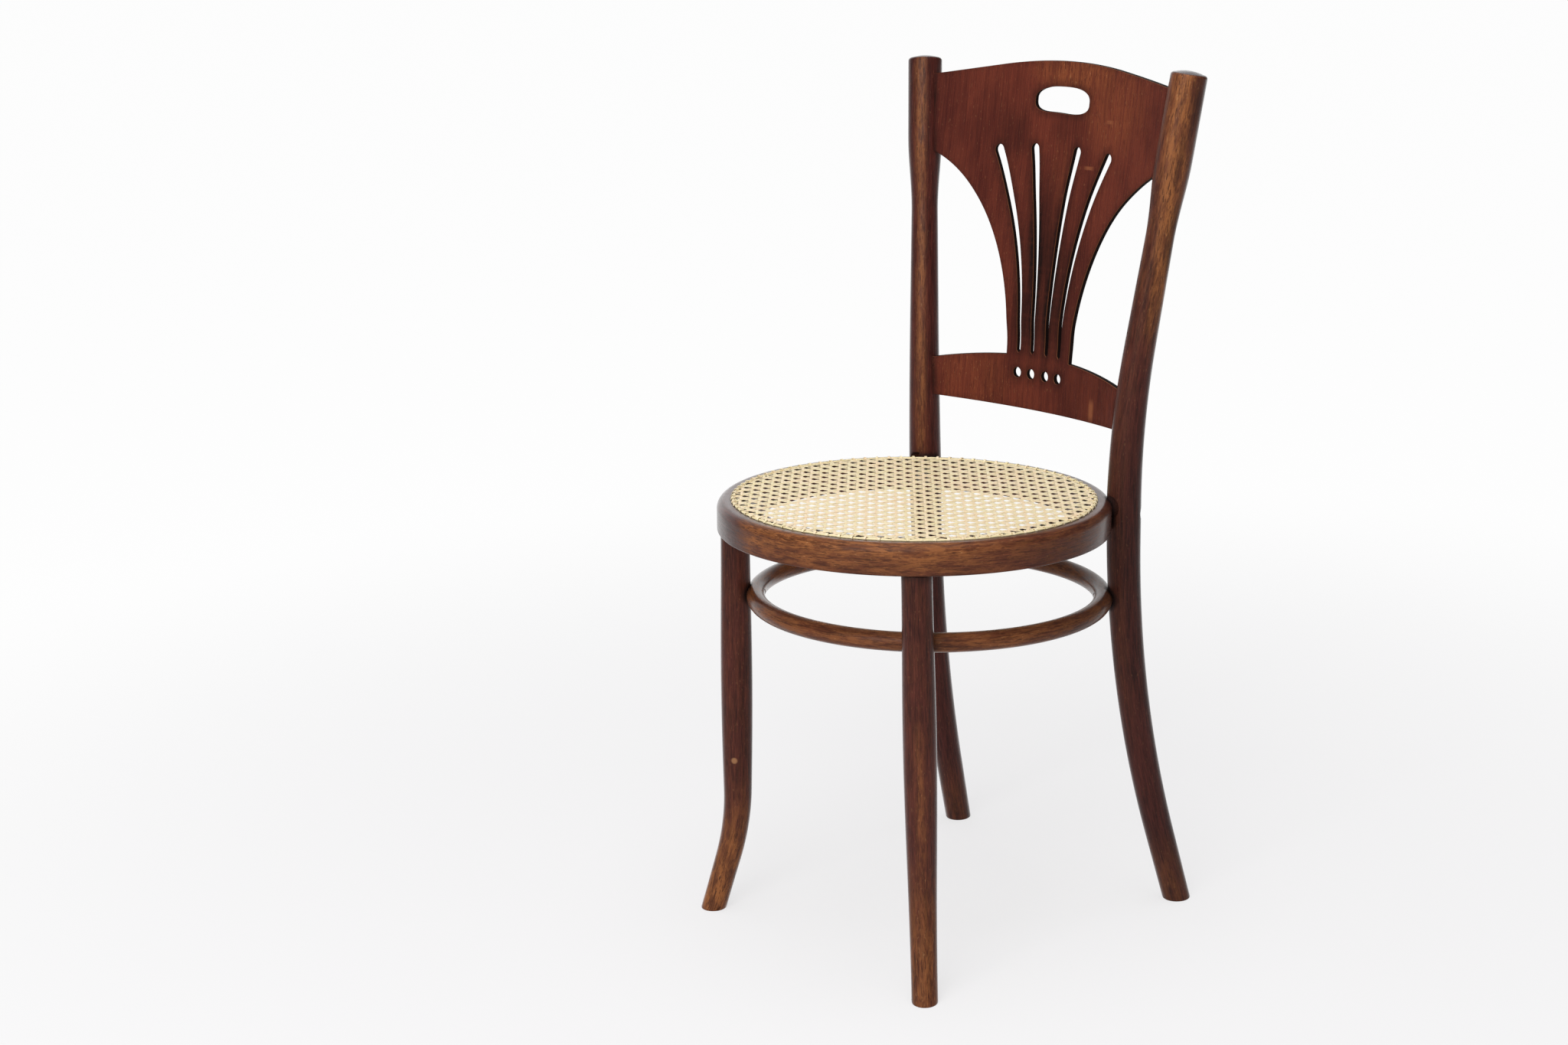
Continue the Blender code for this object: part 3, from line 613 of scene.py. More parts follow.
def post_radius(z):
    seat = SEAT_UNDERSIDE + RING_HEIGHT / 2
    if z >= POST_WAIST_HEIGHT:
        share = (z - POST_WAIST_HEIGHT) / (POST_HEAD_HEIGHT - POST_WAIST_HEIGHT)
        radius = ease(POST_WAIST, POST_HEAD, share) / 2
    elif z >= seat:
        radius = (POST_SEAT + (POST_WAIST - POST_SEAT) * (z - seat) / (POST_WAIST_HEIGHT - seat)) / 2
    else:
        radius = (POST_FOOT + (POST_SEAT - POST_FOOT) * max(z, 0.0) / seat) / 2
    crown = z - (POST_TOP - CROWN)
    if crown > 0:
        radius -= CROWN - sqrt(max(CROWN**2 - crown**2, 0.0))
    return radius


print("post ends at", round(POST_TOP, 4), "m")

# %% Notch, gap and bores of a post
RING_WIDTH = 0.033
RING_ROUND, LOWER_ROUND, INNER_ROUND = 0.009, 0.0015, 0.0025
BINDER_OUTER = SEAT_RADIUS - 0.0151
RING_INSIDE = SEAT_RADIUS - RING_WIDTH
BESIDE_BINDER = (0.0028, 0.0016, 0.0007, -0.0004)
GAP_MIDDLE, GAP_REACH, GAP_HEIGHT = (SEAT_RADIUS - 0.004, 0.0225), 0.0108, 0.0125
GAP_FROM_BOLT = 0.006
BOLT_HEAD, BOLT_SINK, BOLT_BORE = 0.0130, 0.0020, 0.012
PIN_HOLE, SMALL_BORE = 0.0024, 0.006


def rounded(middle, radius, start, end, count):
    """Points of a quarter round about its middle, from one angle to another, in degrees."""
    turns = spaced(radians(start), radians(end), count)
    return [(middle[0] + radius * cos(t), middle[1] + radius * sin(t)) for t in turns]


def ring_outline(spare):
    """The ring's section, rounded over above, with some spare all round where it is used as a cutter."""
    points = rounded((SEAT_RADIUS - LOWER_ROUND, LOWER_ROUND), LOWER_ROUND + spare, -90, 0, 4)
    points += rounded((SEAT_RADIUS - RING_ROUND, RING_HEIGHT - RING_ROUND), RING_ROUND + spare, 0, 90, 10)
    points += [(BINDER_OUTER + wide, RING_HEIGHT + spare) for wide in BESIDE_BINDER]
    inner_edge = (RING_INSIDE + INNER_ROUND, RING_HEIGHT - INNER_ROUND)
    points += rounded(inner_edge, INNER_ROUND + spare, 90, 180, 5)
    return points + rounded((RING_INSIDE + LOWER_ROUND, LOWER_ROUND), LOWER_ROUND + spare, 180, 270, 4)


def notch_cutter():
    cutter = spin_profile("notch_cutter", ring_outline(PLAY), 160)
    set_in_place(cutter, seat_place)
    return cutter


def gap_cutter(side):
    """A thin hoop that opens the notch in front of a post's bolt."""
    cutter = spin_profile("gap_cutter", oval(GAP_MIDDLE, GAP_REACH, GAP_HEIGHT, 24), 160)
    pick(cutter, lambda face: True)
    forward = Vector((side * cos(POST_BEARING), -sin(POST_BEARING), 0))
    bpy.ops.mesh.bisect(plane_co=forward * GAP_FROM_BOLT, plane_no=forward, use_fill=True, clear_inner=True)
    bpy.ops.object.mode_set(mode="OBJECT")
    set_in_place(cutter, seat_place)
    return cutter


def sink_fasteners(post, side):
    """Sinks the bolt's head in the outer side of a post, and two brads in its back."""
    out = Vector((side * sin(POST_BEARING), cos(POST_BEARING), 0))
    head = out * (POST_SEAT_REACH + POST_SEAT / 2 - BOLT_SINK) + Vector((0, 0, RING_HEIGHT / 2))
    drill(post, seat_place @ head, seat_tilt.to_3x3() @ out, BOLT_HEAD / 2 + PLAY, BOLT_BORE)
    for level in ("lower", "upper"):
        low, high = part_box(f"panel_pin_{level}_{WORDS[side]}")
        pin = Vector(((low.x + high.x) / 2, high.y, (low.z + high.z) / 2))
        drill(post, pin, Vector((0, 1, 0)), PIN_HOLE / 2, SMALL_BORE)


print("cutters for the posts ready")

# %% Rear posts
DOME_RINGS = (0.93, 0.8, 0.6, 0.4, 0.2)
posts = {}
for side in (LEFT, RIGHT):
    # The rings lie closer together where the seat ring is let in.
    heights = spaced(-SPARE, 0.325, 40) + spaced(0.33, 0.47, 57) + spaced(0.475, POST_TOP - CROWN, 60)
    heights += [POST_TOP - CROWN * (1 - sin(turn)) for turn in spaced(0, pi / 2, 7)[1:]]
    radii = [post_radius(z) for z in heights]
    cap = radii[-1]
    for share in DOME_RINGS:
        heights.append(POST_TOP + DOME * (1 - share**2))
        radii.append(cap * share)
    post = turn_blank(f"bent_post_{WORDS[side]}", heights, radii, sides=40)
    bend_bar(post, post_centre, side)
    saw_off(post, (0, 0, 0), (0, 0, 1))
    chisel(post, hoop_cutter())
    chisel(post, notch_cutter())
    chisel(post, gap_cutter(side))
    close_slivers(post)
    sink_fasteners(post, side)
    note_straight(post, post_centre, side, POST_GRAIN + side)
    hand_over(post, [f"rear_post_{WORDS[side]}"])
    posts[side] = post

# %% [markdown]
# Seat ring
# The seat ring is a square strip of beech bent into a hoop, its ends scarfed and glued and its upper edge
# rounded over. A hoop could be a torus, but this section is not round, so its outline is drawn once and
# spun about the seat's axis.

# %% Seat ring
SCREW_HEAD, SCREW_SINK, LEG_SCREW_HEIGHT = 0.008, 0.001, 0.011
RING_GRAIN = 14.0
ring = spin_profile("bent_seat_ring", ring_outline(0.0), 200)
set_in_place(ring, seat_place)
for side in (LEFT, RIGHT):
    out = Vector((side * sin(LEG_BEARING), -cos(LEG_BEARING), 0))
    head = seat_place @ (out * (RING_INSIDE + SCREW_SINK) + Vector((0, 0, LEG_SCREW_HEIGHT)))
    drill(ring, head, seat_tilt.to_3x3() @ -out, SCREW_HEAD / 2 + PLAY, SMALL_BORE)
note_hoop(ring, seat_place, SEAT_RADIUS, RING_GRAIN)
hand_over(ring, ["seat_ring"])

# %% [markdown]
# Hoop between the legs
# A thinner round hoop ties the four legs together below the seat: a small circle spun about its own axis.
# A torus would give the same form, but the spin is the tool that makes the ring, so it is used again.
# A screw goes from inside the hoop into each leg, with its head sunk a little.

# %% Hoop
HOOP_GRAIN = 18.0
hoop_outline = oval((hoop_radius, 0), HOOP_THICKNESS / 2, HOOP_THICKNESS / 2, 24)
hoop = spin_profile("bent_hoop", hoop_outline, 160)
set_in_place(hoop, hoop_place)
for side in (LEFT, RIGHT):
    for centre in (leg_centre, post_centre):
        spot = centre(hoop_place.translation.z)
        out = Vector((side * spot.x, spot.y + SEAT_AXIS - hoop_place.translation.y, 0)).normalized()
        head = hoop_place @ (out * (hoop_radius - HOOP_THICKNESS / 2 + SCREW_SINK))
        drill(hoop, head, seat_tilt.to_3x3() @ -out, SCREW_HEAD / 2 + PLAY, SMALL_BORE)
note_hoop(hoop, hoop_place, hoop_radius, HOOP_GRAIN)
hand_over(hoop, ["stretcher_ring"])

# %% [markdown]
# Back panel
# The back is one sheet of plywood: a crest with a hand hole, a waist pierced by four long slots, and a
# lower rail with four small round holes. It is cut flat and then bent between the posts, so here too it
# starts as a flat sheet. The outline and the holes are filled in one go, the sheet is extruded to its
# thickness and its edges are eased. Cross cuts then give it enough corners to bend smoothly.

# %% Edges of the panel
PANEL_THICKNESS, PANEL_BOW, PANEL_FORWARD = 0.006, 0.029, 0.006
TONGUE = 0.005
CREST, CREST_BEND, CREST_ANGLE = POST_TOP + 0.0022, 0.084, radians(8.194)
RAIL_BOTTOM = SEAT_UNDERSIDE + 0.0907
RAIL_TOP = RAIL_BOTTOM + 0.0562
RAIL_LIFT, RAIL_FALL = 0.003, 0.0127
WAIST_HALF, SHOULDER_REACH, SHOULDER_DROP = 0.0445, 0.16, 0.089
SLATS_FORWARD, SLATS_FROM, SLATS_TO = 0.002, 0.580, 0.73
SLATS_RISE, SLATS_FALL = 0.03, 0.055
SHOULDER_DIP, DIP_FROM, DIP_RUN = 0.003, 0.08, 0.05


def sheet_y(x, z):
    """Where the middle of the bowed sheet lies: the slats stand a little forward of the bow."""
    post = post_centre(z)
    bowed = 1 - (x / post.x) ** 2
    slats = ease(0, 1, (z - SLATS_FROM) / SLATS_RISE) * ease(1, 0, (z - SLATS_TO) / SLATS_FALL)
    return post.y - PANEL_FORWARD + (PANEL_BOW - SLATS_FORWARD * slats) * bowed + SEAT_AXIS


def post_side(z):
    """How far out the inner side of a post is."""
    return post_centre(z).x - post_radius(min(z, POST_TOP - CROWN))


def rail_bottom(x):
    return RAIL_BOTTOM + RAIL_LIFT * (x / post_side(RAIL_BOTTOM)) ** 2


def rail_top(x):
    return RAIL_TOP - RAIL_FALL * (x / post_side(RAIL_TOP)) ** 2


def crest(x):
    return CREST - bend(abs(x), CREST_BEND, CREST_ANGLE)


print("rail from", round(RAIL_BOTTOM, 4), "to", round(RAIL_TOP, 4), "and crest at", round(CREST, 4))

# %% Outline of the panel
def meet_post(edge):
    """The height at which an edge of the panel reaches the post."""
    z = edge(0)
    for _ in range(20):
        z = edge(post_side(z))
    return z


def shoulder(dip):
    """The hollow side of the upper panel: part of an ellipse from waist to post, lower there by a dip."""
    foot = rail_top(WAIST_HALF)
    rise = CREST - SHOULDER_DROP - foot
    points = []
    for turn in spaced(0, pi / 2, 61):
        x = WAIST_HALF + SHOULDER_REACH * (1 - cos(turn))
        z = foot + rise * sin(turn) - dip * ease(0, 1, (x - DIP_FROM) / DIP_RUN)
        if x >= post_side(z):
            break
        points.append((x, z))
    points.append((post_side(points[-1][1]), points[-1][1]))
    return points


def half_outline(dip):
    """One half of the panel's outline, from the bottom middle up to the top middle."""
    low, high, top = meet_post(rail_bottom), meet_post(rail_top), meet_post(crest)
    points = [(post_side(low) * s, rail_bottom(post_side(low) * s)) for s in spaced(0, 1, 20)]
    points += [(post_side(z) + TONGUE, z) for z in spaced(low, high, 8)]
    points += [(x, rail_top(x)) for x in spaced(post_side(high), WAIST_HALF, 16)]
    side_points = shoulder(dip)
    points += side_points[1:]
    points += [(post_side(z) + TONGUE, z) for z in spaced(side_points[-1][1], top, 10)]
    return points + [(x, crest(x)) for x in spaced(post_side(top), 0.0, 24)]


panel_outline = half_outline(SHOULDER_DIP) + [(-x, z) for x, z in half_outline(0.0)[-2:0:-1]]
print("panel outline has", len(panel_outline), "points")

# %% Holes in the panel
HAND_WIDTH, HAND_HEIGHT, HAND_DROP, HAND_ASIDE = 0.077, 0.028, 0.0395, 0.003
HUMP, HUMP_ASIDE, HUMP_REACH = 0.0012, 0.010, 0.026
SOFT_CORNER, FULL_CORNER, ARCHED_TOP, FLAT_BOTTOM = 2.3, 2.7, 2.4, 3.4
SLOT_FOOT, SLOT_CURVE, SLOT_TIP = RAIL_TOP + 0.0045, 2.2, 0.55
INNER_SLOT = dict(foot=0.0102, spread=0.0195, top=CREST - 0.0901, narrow=0.0052, wide=0.0110, swell=1.6)
OUTER_SLOT = dict(foot=0.0290, spread=0.0478, top=CREST - 0.0936, narrow=0.0054, wide=0.0116, swell=1.4)
PEG_HOLE, PEG_HOLE_HEIGHT = 0.011, RAIL_TOP - 0.019


def slot_outline(side, foot, spread, top, narrow, wide, swell):
    """A long slot that widens and curves outwards from a narrow foot to a round head."""
    right, left = [], []
    for share in spaced(0, 1, 26):
        x = foot + spread * share**SLOT_CURVE
        z = SLOT_FOOT + (top - SLOT_FOOT) * share
        slope = SLOT_CURVE * spread * share ** (SLOT_CURVE - 1) / (top - SLOT_FOOT)
        width = (narrow + (wide - narrow) * share**swell) / 2
        sideways = Vector((1, -slope)).normalized() * width
        right.append((x + sideways.x, z + sideways.y))
        left.append((x - sideways.x, z - sideways.y))
    middle, onward = Vector((x, z)), Vector((-sideways.y, sideways.x))
    head = [middle + sideways * cos(t) + onward * sin(t) for t in spaced(0, pi, 13)[1:-1]]
    tip = [(foot, SLOT_FOOT - narrow * SLOT_TIP)]
    points = tip + right + [(p.x, p.y) for p in head] + left[::-1]
    return [(side * x, z) for x, z in points]


def hand_hole():
    """A hole for the fingers: an arched top, round ends and a slight hump in its lower edge."""
    points = []
    for turn in spaced(0, 2 * pi, 73)[:-1]:
        out, up = cos(turn), sin(turn)
        roundness = 2 / (SOFT_CORNER if up > 0 and out < 0 else FULL_CORNER)
        flatness = 2 / (ARCHED_TOP if up > 0 else FLAT_BOTTOM)
        x = HAND_WIDTH / 2 * copysign(abs(out) ** roundness, out)
        z = HAND_HEIGHT / 2 * copysign(abs(up) ** flatness, up)
        if z < 0:
            z += HUMP * ease(1, 0, abs(x + HUMP_ASIDE) / HUMP_REACH)
        points.append((x + HAND_ASIDE, CREST - HAND_DROP + z))
    return points


openings = [hand_hole()]
for side in (LEFT, RIGHT):
    for slot in (INNER_SLOT, OUTER_SLOT):
        peg_hole = oval((side * slot["foot"], PEG_HOLE_HEIGHT), PEG_HOLE / 2, PEG_HOLE / 2, 24)
        openings += [slot_outline(side, **slot), peg_hole]
print("openings in the panel:", len(openings))

# %% Cut the sheet, ease its edges and bend it
EASED, HALF_SHEET, CROSS_CUTS = 0.0004, 0.18, 61


def flat_sheet(name, loops):
    """A thin flat face in XY, bounded by the first loop and pierced by the others."""
    sheet = draw_loops(name, [[(x, y, 0) for x, y in loop] for loop in loops])
    bpy.ops.mesh.fill(use_beauty=True)
    bpy.ops.mesh.normals_make_consistent(inside=False)
    return sheet


def on_sheet(corner):
    """Where a corner of the flat sheet is: across, through its thickness and up."""
    return corner.x, corner.z - PANEL_THICKNESS / 2, corner.y


panel = flat_sheet("pierced_back", [panel_outline] + openings)
bpy.ops.mesh.extrude_region_move(TRANSFORM_OT_translate={"value": (0, 0, PANEL_THICKNESS)})
bpy.ops.mesh.select_all(action="SELECT")
bpy.ops.mesh.normals_make_consistent(inside=False)
bpy.ops.mesh.select_mode(type="EDGE")
bpy.ops.mesh.select_all(action="DESELECT")
bpy.ops.mesh.edges_select_sharp(sharpness=radians(75))
bpy.ops.mesh.bevel(offset=EASED, segments=2, affect="EDGES", clamp_overlap=False)
for x in spaced(-HALF_SHEET, HALF_SHEET, CROSS_CUTS):
    bpy.ops.mesh.select_all(action="SELECT")
    bpy.ops.mesh.bisect(plane_co=(x, 0, 0), plane_no=(1, 0, 0))
for z in spaced(RAIL_BOTTOM - 0.01, CREST + 0.01, CROSS_CUTS):
    bpy.ops.mesh.select_all(action="SELECT")
    bpy.ops.mesh.bisect(plane_co=(0, z, 0), plane_no=(0, 1, 0))
bpy.ops.object.mode_set(mode="OBJECT")
note(panel, "straight", on_sheet)
for corner in panel.data.vertices:
    x, depth, z = on_sheet(corner.co)
    slope = (sheet_y(x + HALF_STEP, z) - sheet_y(x - HALF_STEP, z)) / (2 * HALF_STEP)
    square = depth / hypot(1, slope)
    corner.co = (x - slope * square, sheet_y(x, z) + square, z)
face_outwards(panel)
hand_over(panel, ["back_panel"], smooth=40)

# %% [markdown]
# Woven cane
# The seat is woven by hand from split cane, six strands to each hole: pairs from front to back,
# pairs from side to side woven through them, and two slants that cross midway between the pairs.
# A flat picture of the pattern would look dead at a low angle, so every strand is real and is woven.
# One strand is shaped for one repeat of the pattern and then repeated with Array modifiers.
# Handwork is never quite even: each strand wanders a little, and at the rim it is drawn aside to its hole.

# %% One strand
PITCH_X, PITCH_Y = 0.0144, 0.0134
PAIR_X, PAIR_Y = 0.0085, 0.0004
STRAND_WIDTH, STRAND_THICKNESS = 0.0024, 0.0003
PAIR_SPACING = 0.0031
RISE, SLANT_RISE, CROWNING = 0.0002, 0.00045, 0.00008
BINDER_WIDTH = 0.0030
HOLES, HOLE_RADIUS = 87, BINDER_OUTER - BINDER_WIDTH / 2
WEB_REACH = HOLE_RADIUS + 0.0010


def small_grid(name, columns, rows):
    """A flat grid one metre wide, ready to be shaped."""
    bpy.ops.object.select_all(action="DESELECT")
    bpy.ops.mesh.primitive_grid_add(x_subdivisions=columns, y_subdivisions=rows, size=1)
    made = bpy.context.object
    made.name = name
    return made


def strand(name, length, start, turn, height):
    """One flat strand along a direction in the seat's plane: a grid whose points are lifted by a height."""
    made = small_grid(name, 2, 10)
    swing = Matrix.Rotation(turn, 4, "Z")
    for corner in made.data.vertices:
        sideways, along = corner.co.x * STRAND_WIDTH, corner.co.y * length
        lift = height(along) + CROWNING * (1 - (2 * corner.co.x) ** 2)
        corner.co = swing @ Vector((sideways, along, 0)) + Vector((*start, lift))
    return made


def woven(along, pitch, sign):
    """Over one neighbour and under the next at a crossing of pairs, and level midway between crossings."""
    half = PAIR_SPACING / 2
    if abs(along) <= half:
        return sign * RISE * sin(pi / 2 * along / half)
    share = (abs(along) - half) / (pitch / 2 - half)
    return sign * ease(RISE, 0, share) * (1 if along > 0 else -1)


print("cane pairs", round(2 * WEB_REACH / PITCH_X), "across and", round(2 * WEB_REACH / PITCH_Y), "deep")

# %% Repeat and thicken
REPEATS, ARRAY_WELD = 30, 0.00002


def repeat(piece, steps):
    """Repeats a strand with one Array modifier for each step of (x, y, count)."""
    hold(piece)
    for x, y, count in steps:
        bpy.ops.object.modifier_add(type="ARRAY")
        array = piece.modifiers[-1]
        array.count = count
        array.use_relative_offset = False
        array.use_constant_offset = True
        array.constant_offset_displace = (x, y, 0)
        array.use_merge_vertices = True
        array.merge_threshold = ARRAY_WELD
        bpy.ops.object.modifier_apply(modifier=array.name)


def thicken(piece, thickness, offset):
    """Makes a sheet solid, half to each side with an offset of 0, and on the back of it with -1."""
    bpy.ops.object.modifier_add(type="SOLIDIFY")
    solid = piece.modifiers[-1]
    solid.thickness = thickness
    solid.offset = offset
    bpy.ops.object.modifier_apply(modifier=solid.name)


print("each strand is repeated", REPEATS, "times each way")

# %% From the strands to the holes
WEB_LIFT, WEB_SAG, CANE_SMOOTH = 0.0007, 0.0025, 50
GATHER, GATHERED, PULL = 0.011, 0.003, 0.6
DIVE, DIVE_RUN = 0.0008, 0.004
UNEVEN, WAVE, WAVES = 0.00018, 0.00014, 55


def soft_step(share):
    share = np.clip(share, 0.0, 1.0)
    return share * share * (3 - 2 * share)


def pair_line(across, first, pitch):
    """Which strand each point is on, two to each pair, and where that strand runs."""
    pair = np.round((across - first) / pitch)
    second = across - first - pair * pitch > 0
    return 2 * pair + second, first + pair * pitch + (second - 0.5) * PAIR_SPACING


def draw_to_holes(points, number, spot, run):
    """Lets each strand wander a little and draws its ends aside to the nearest holes of the ring."""
    aside = np.array((run[1], -run[0]))
    along, centre = points[:, :2] @ run, spot @ aside
    wander = UNEVEN * np.sin(2.4 * number) + WAVE * np.sin(WAVES * along + 1.7 * number)
    reach = np.sqrt(np.maximum(HOLE_RADIUS**2 - centre**2, 0.0001))
    end = np.outer(centre, aside) + np.outer(np.where(along < 0, -reach, reach), run)
    step = 2 * pi / HOLES
    hole = np.round(np.arctan2(end[:, 1], end[:, 0]) / step) * step
    pull = HOLE_RADIUS * np.stack([np.cos(hole), np.sin(hole)], axis=1) - end
    share = PULL * soft_step((np.abs(along) - reach + GATHER) / (GATHER - GATHERED))
    points[:, :2] += pull * share[:, None] + np.outer(wander * (1 - share), aside)
    return np.stack([points[:, :2] @ aside - centre, number, along], axis=1)


def lay_web(piece, first_number, run, line_of):
    """Trims the strands to the ring, gives them thickness and lays them on the sloping seat."""
    pick(piece, lambda face: hypot(face.center.x, face.center.y) > WEB_REACH)
    bpy.ops.mesh.delete(type="FACE")
    bpy.ops.object.mode_set(mode="OBJECT")
    layer = piece.data.attributes.new("strand", "FLOAT_VECTOR", "POINT")
    count = len(piece.data.vertices)
    flat = np.empty(count * 3, np.float32)
    piece.data.vertices.foreach_get("co", flat)
    points = flat.reshape(-1, 3)
    number, spot = line_of(points)
    strand_place = draw_to_holes(points, number + first_number, spot, np.array(run) / hypot(*run))
    layer.data.foreach_set("vector", strand_place.astype(np.float32).ravel())
    radius = np.hypot(points[:, 0], points[:, 1])
    sag = WEB_SAG * (1 - np.minimum(radius / RING_INSIDE, 1.0) ** 2)
    dive = DIVE * soft_step((radius - HOLE_RADIUS + DIVE_RUN) / DIVE_RUN)
    points[:, 2] += RING_HEIGHT + WEB_LIFT - sag - dive
    piece.data.vertices.foreach_set("co", points.ravel())
    thicken(piece, STRAND_THICKNESS, 0)
    set_in_place(piece, seat_place)
    hand_over(piece, ["cane_web"], CANE_SMOOTH)


print(HOLES, "holes to draw the strands to")

# %% Weave the pairs
UPRIGHT_NUMBERS, CROSSING_NUMBERS, SLANT_NUMBERS, SLANT_STEP = 0.0, 100.0, 200.0, 50.0
first_x = PAIR_X - (REPEATS // 2) * PITCH_X
first_y = PAIR_Y - (REPEATS // 2) * PITCH_Y
half = PAIR_SPACING / 2
upright_pair = join([
    strand("cane_uprights", PITCH_Y, (first_x - half, first_y), 0, lambda y: woven(y, PITCH_Y, 1)),
    strand("cane_upright", PITCH_Y, (first_x + half, first_y), 0, lambda y: woven(y, PITCH_Y, -1)),
])
repeat(upright_pair, [(0, PITCH_Y, REPEATS), (PITCH_X, 0, REPEATS)])


def upright_line(points):
    number, x = pair_line(points[:, 0], PAIR_X, PITCH_X)
    return number, np.stack([x, 0 * x], axis=1)


lay_web(upright_pair, UPRIGHT_NUMBERS, (0, 1), upright_line)

cross_pair = join([
    strand("cane_crossings", PITCH_X, (first_x, first_y - half), -pi / 2, lambda x: woven(x, PITCH_X, -1)),
    strand("cane_crossing", PITCH_X, (first_x, first_y + half), -pi / 2, lambda x: woven(x, PITCH_X, 1)),
])
repeat(cross_pair, [(PITCH_X, 0, REPEATS), (0, PITCH_Y, REPEATS)])


def crossing_line(points):
    number, y = pair_line(points[:, 1], PAIR_Y, PITCH_Y)
    return number, np.stack([0 * y, y], axis=1)


lay_web(cross_pair, CROSSING_NUMBERS, (1, 0), crossing_line)

# %% Weave the slants
slant_length = hypot(PITCH_X, PITCH_Y)
slants = []
for lean, name, sign in ((RIGHT, "cane_slants_right", -1), (LEFT, "cane_slants_left", 1)):
    def slant_height(along, sign=sign):
        """Over the pairs one way and under the pairs the other way, with a flattened wave."""
        wave = cos(2 * pi * along / slant_length)
        return sign * SLANT_RISE * min(max(1.4 * wave, -1), 1)

    turn = -lean * atan2(PITCH_X, PITCH_Y)
    start_x = PAIR_X - lean * REPEATS * PITCH_X / 2 + PITCH_X / 2
    slant = strand(name, slant_length, (start_x, first_y), turn, slant_height)
    repeat(slant, [(lean * PITCH_X, PITCH_Y, REPEATS)])
    for corner in slant.data.vertices:
        corner.co.x -= REPEATS * PITCH_X
    repeat(slant, [(PITCH_X, 0, 2 * REPEATS)])

    def slant_line(points, lean=lean):
        across, deep = points[:, 0] - PAIR_X, points[:, 1] - PAIR_Y
        number = np.round(across / PITCH_X - lean * deep / PITCH_Y - 0.5)
        return number, np.stack([PAIR_X + (number + 0.5) * PITCH_X, PAIR_Y + 0 * number], axis=1)

    lay_web(slant, SLANT_NUMBERS + SLANT_STEP * lean, (lean * PITCH_X, PITCH_Y), slant_line)
    slants.append(slant)

# %% [markdown]
# Binder and ties
# A flat strip of cane, the binder, runs round the edge and hides the row of holes for the strands.
# A narrow tie comes up through each hole, over the binder and down again, and pinches it a little.
# Seen from below, short stitches run from hole to hole. The binder is spun like the ring, and its corners
# are then moved a little, because an even band would not look like handwork.

# %% Binder
BINDER_THICKNESS, BINDER_NUMBER = 0.0010, 400.0
BINDER_BASE = RING_HEIGHT + 0.0006
SLACK, BULGE, SQUEEZE, SINK = 0.0005, 0.0004, 0.0009, 0.0003
LINE_RADIUS = 0.18
binder_outline = [
    (HOLE_RADIUS + BINDER_WIDTH / 2 * cos(t), BINDER_BASE + BINDER_THICKNESS * max(sin(t), -0.6))
    for t in spaced(0, 2 * pi, 13)[:-1]
]
binder = spin_profile("cane_edging", binder_outline, HOLES * 4)
for corner in binder.data.vertices:
    radius = hypot(corner.co.x, corner.co.y)
    swing = atan2(corner.co.y, corner.co.x)
    pinch = (1 + cos(HOLES * swing)) / 2
    share = (radius - HOLE_RADIUS) / (BINDER_WIDTH / 2)
    slack = SLACK * sin(2.7 * (HOLES * swing / (2 * pi) // 1)) * (1 - pinch)
    push = (share * (BULGE - SQUEEZE * pinch) + slack) / radius
    corner.co.x *= 1 + push
    corner.co.y *= 1 + push
    corner.co.z -= SINK * pinch


def on_binder(corner):
    aside = hypot(corner.x, corner.y) - HOLE_RADIUS
    return aside, BINDER_NUMBER, atan2(corner.y, corner.x) * LINE_RADIUS


note(binder, "strand", on_binder)
set_in_place(binder, seat_place)
hand_over(binder, ["cane_binder"], CANE_SMOOTH)

# %% Ties and stitches
TIE_WIDTH, TIE_SPAN, TIE_RISE, TIE_THICKNESS = 0.0025, 0.0050, 0.00225, 0.0005
STITCH_WIDTH, STITCH_DROP, STITCH_THICKNESS = 0.0026, 0.0009, 0.0006
STITCH_LENGTH = 2 * pi * HOLE_RADIUS / HOLES
CANE_CROWN, ASKEW = 0.0002, 0.3
TIE_NUMBERS, STITCH_NUMBERS = 500.0, 600.0


def copies_round(piece, count, offset):
    """Copies a small piece to places round the seat's axis and joins them."""
    made = []
    for i in range(count):
        copy = piece.copy()
        copy.data = piece.data.copy()
        bpy.context.scene.collection.objects.link(copy)
        askew = Matrix.Rotation(ASKEW * sin(7.3 * i), 4, "Z")
        askew.translation = askew @ Vector((-HOLE_RADIUS, 0, 0)) + Vector((HOLE_RADIUS, 0, 0))
        copy.data.transform(Matrix.Rotation(2 * pi * (i + offset) / count, 4, "Z") @ askew)
        made.append(copy)
    name = piece.name
    bpy.data.objects.remove(piece)
    joined = join(made)
    joined.name = name
    return joined


tie = small_grid("cane_ties", 8, 2)
for corner in tie.data.vertices:
    turn = pi * (corner.co.x + 0.5)
    lift = RING_HEIGHT + TIE_RISE * sin(turn) ** 0.6 + HAIR
    crown_lift = CANE_CROWN * (1 - (2 * corner.co.y) ** 2)
    corner.co = (HOLE_RADIUS - TIE_SPAN / 2 * cos(turn), corner.co.y * TIE_WIDTH, lift + crown_lift)
thicken(tie, TIE_THICKNESS, -1)
ties = copies_round(tie, HOLES, 0.0)

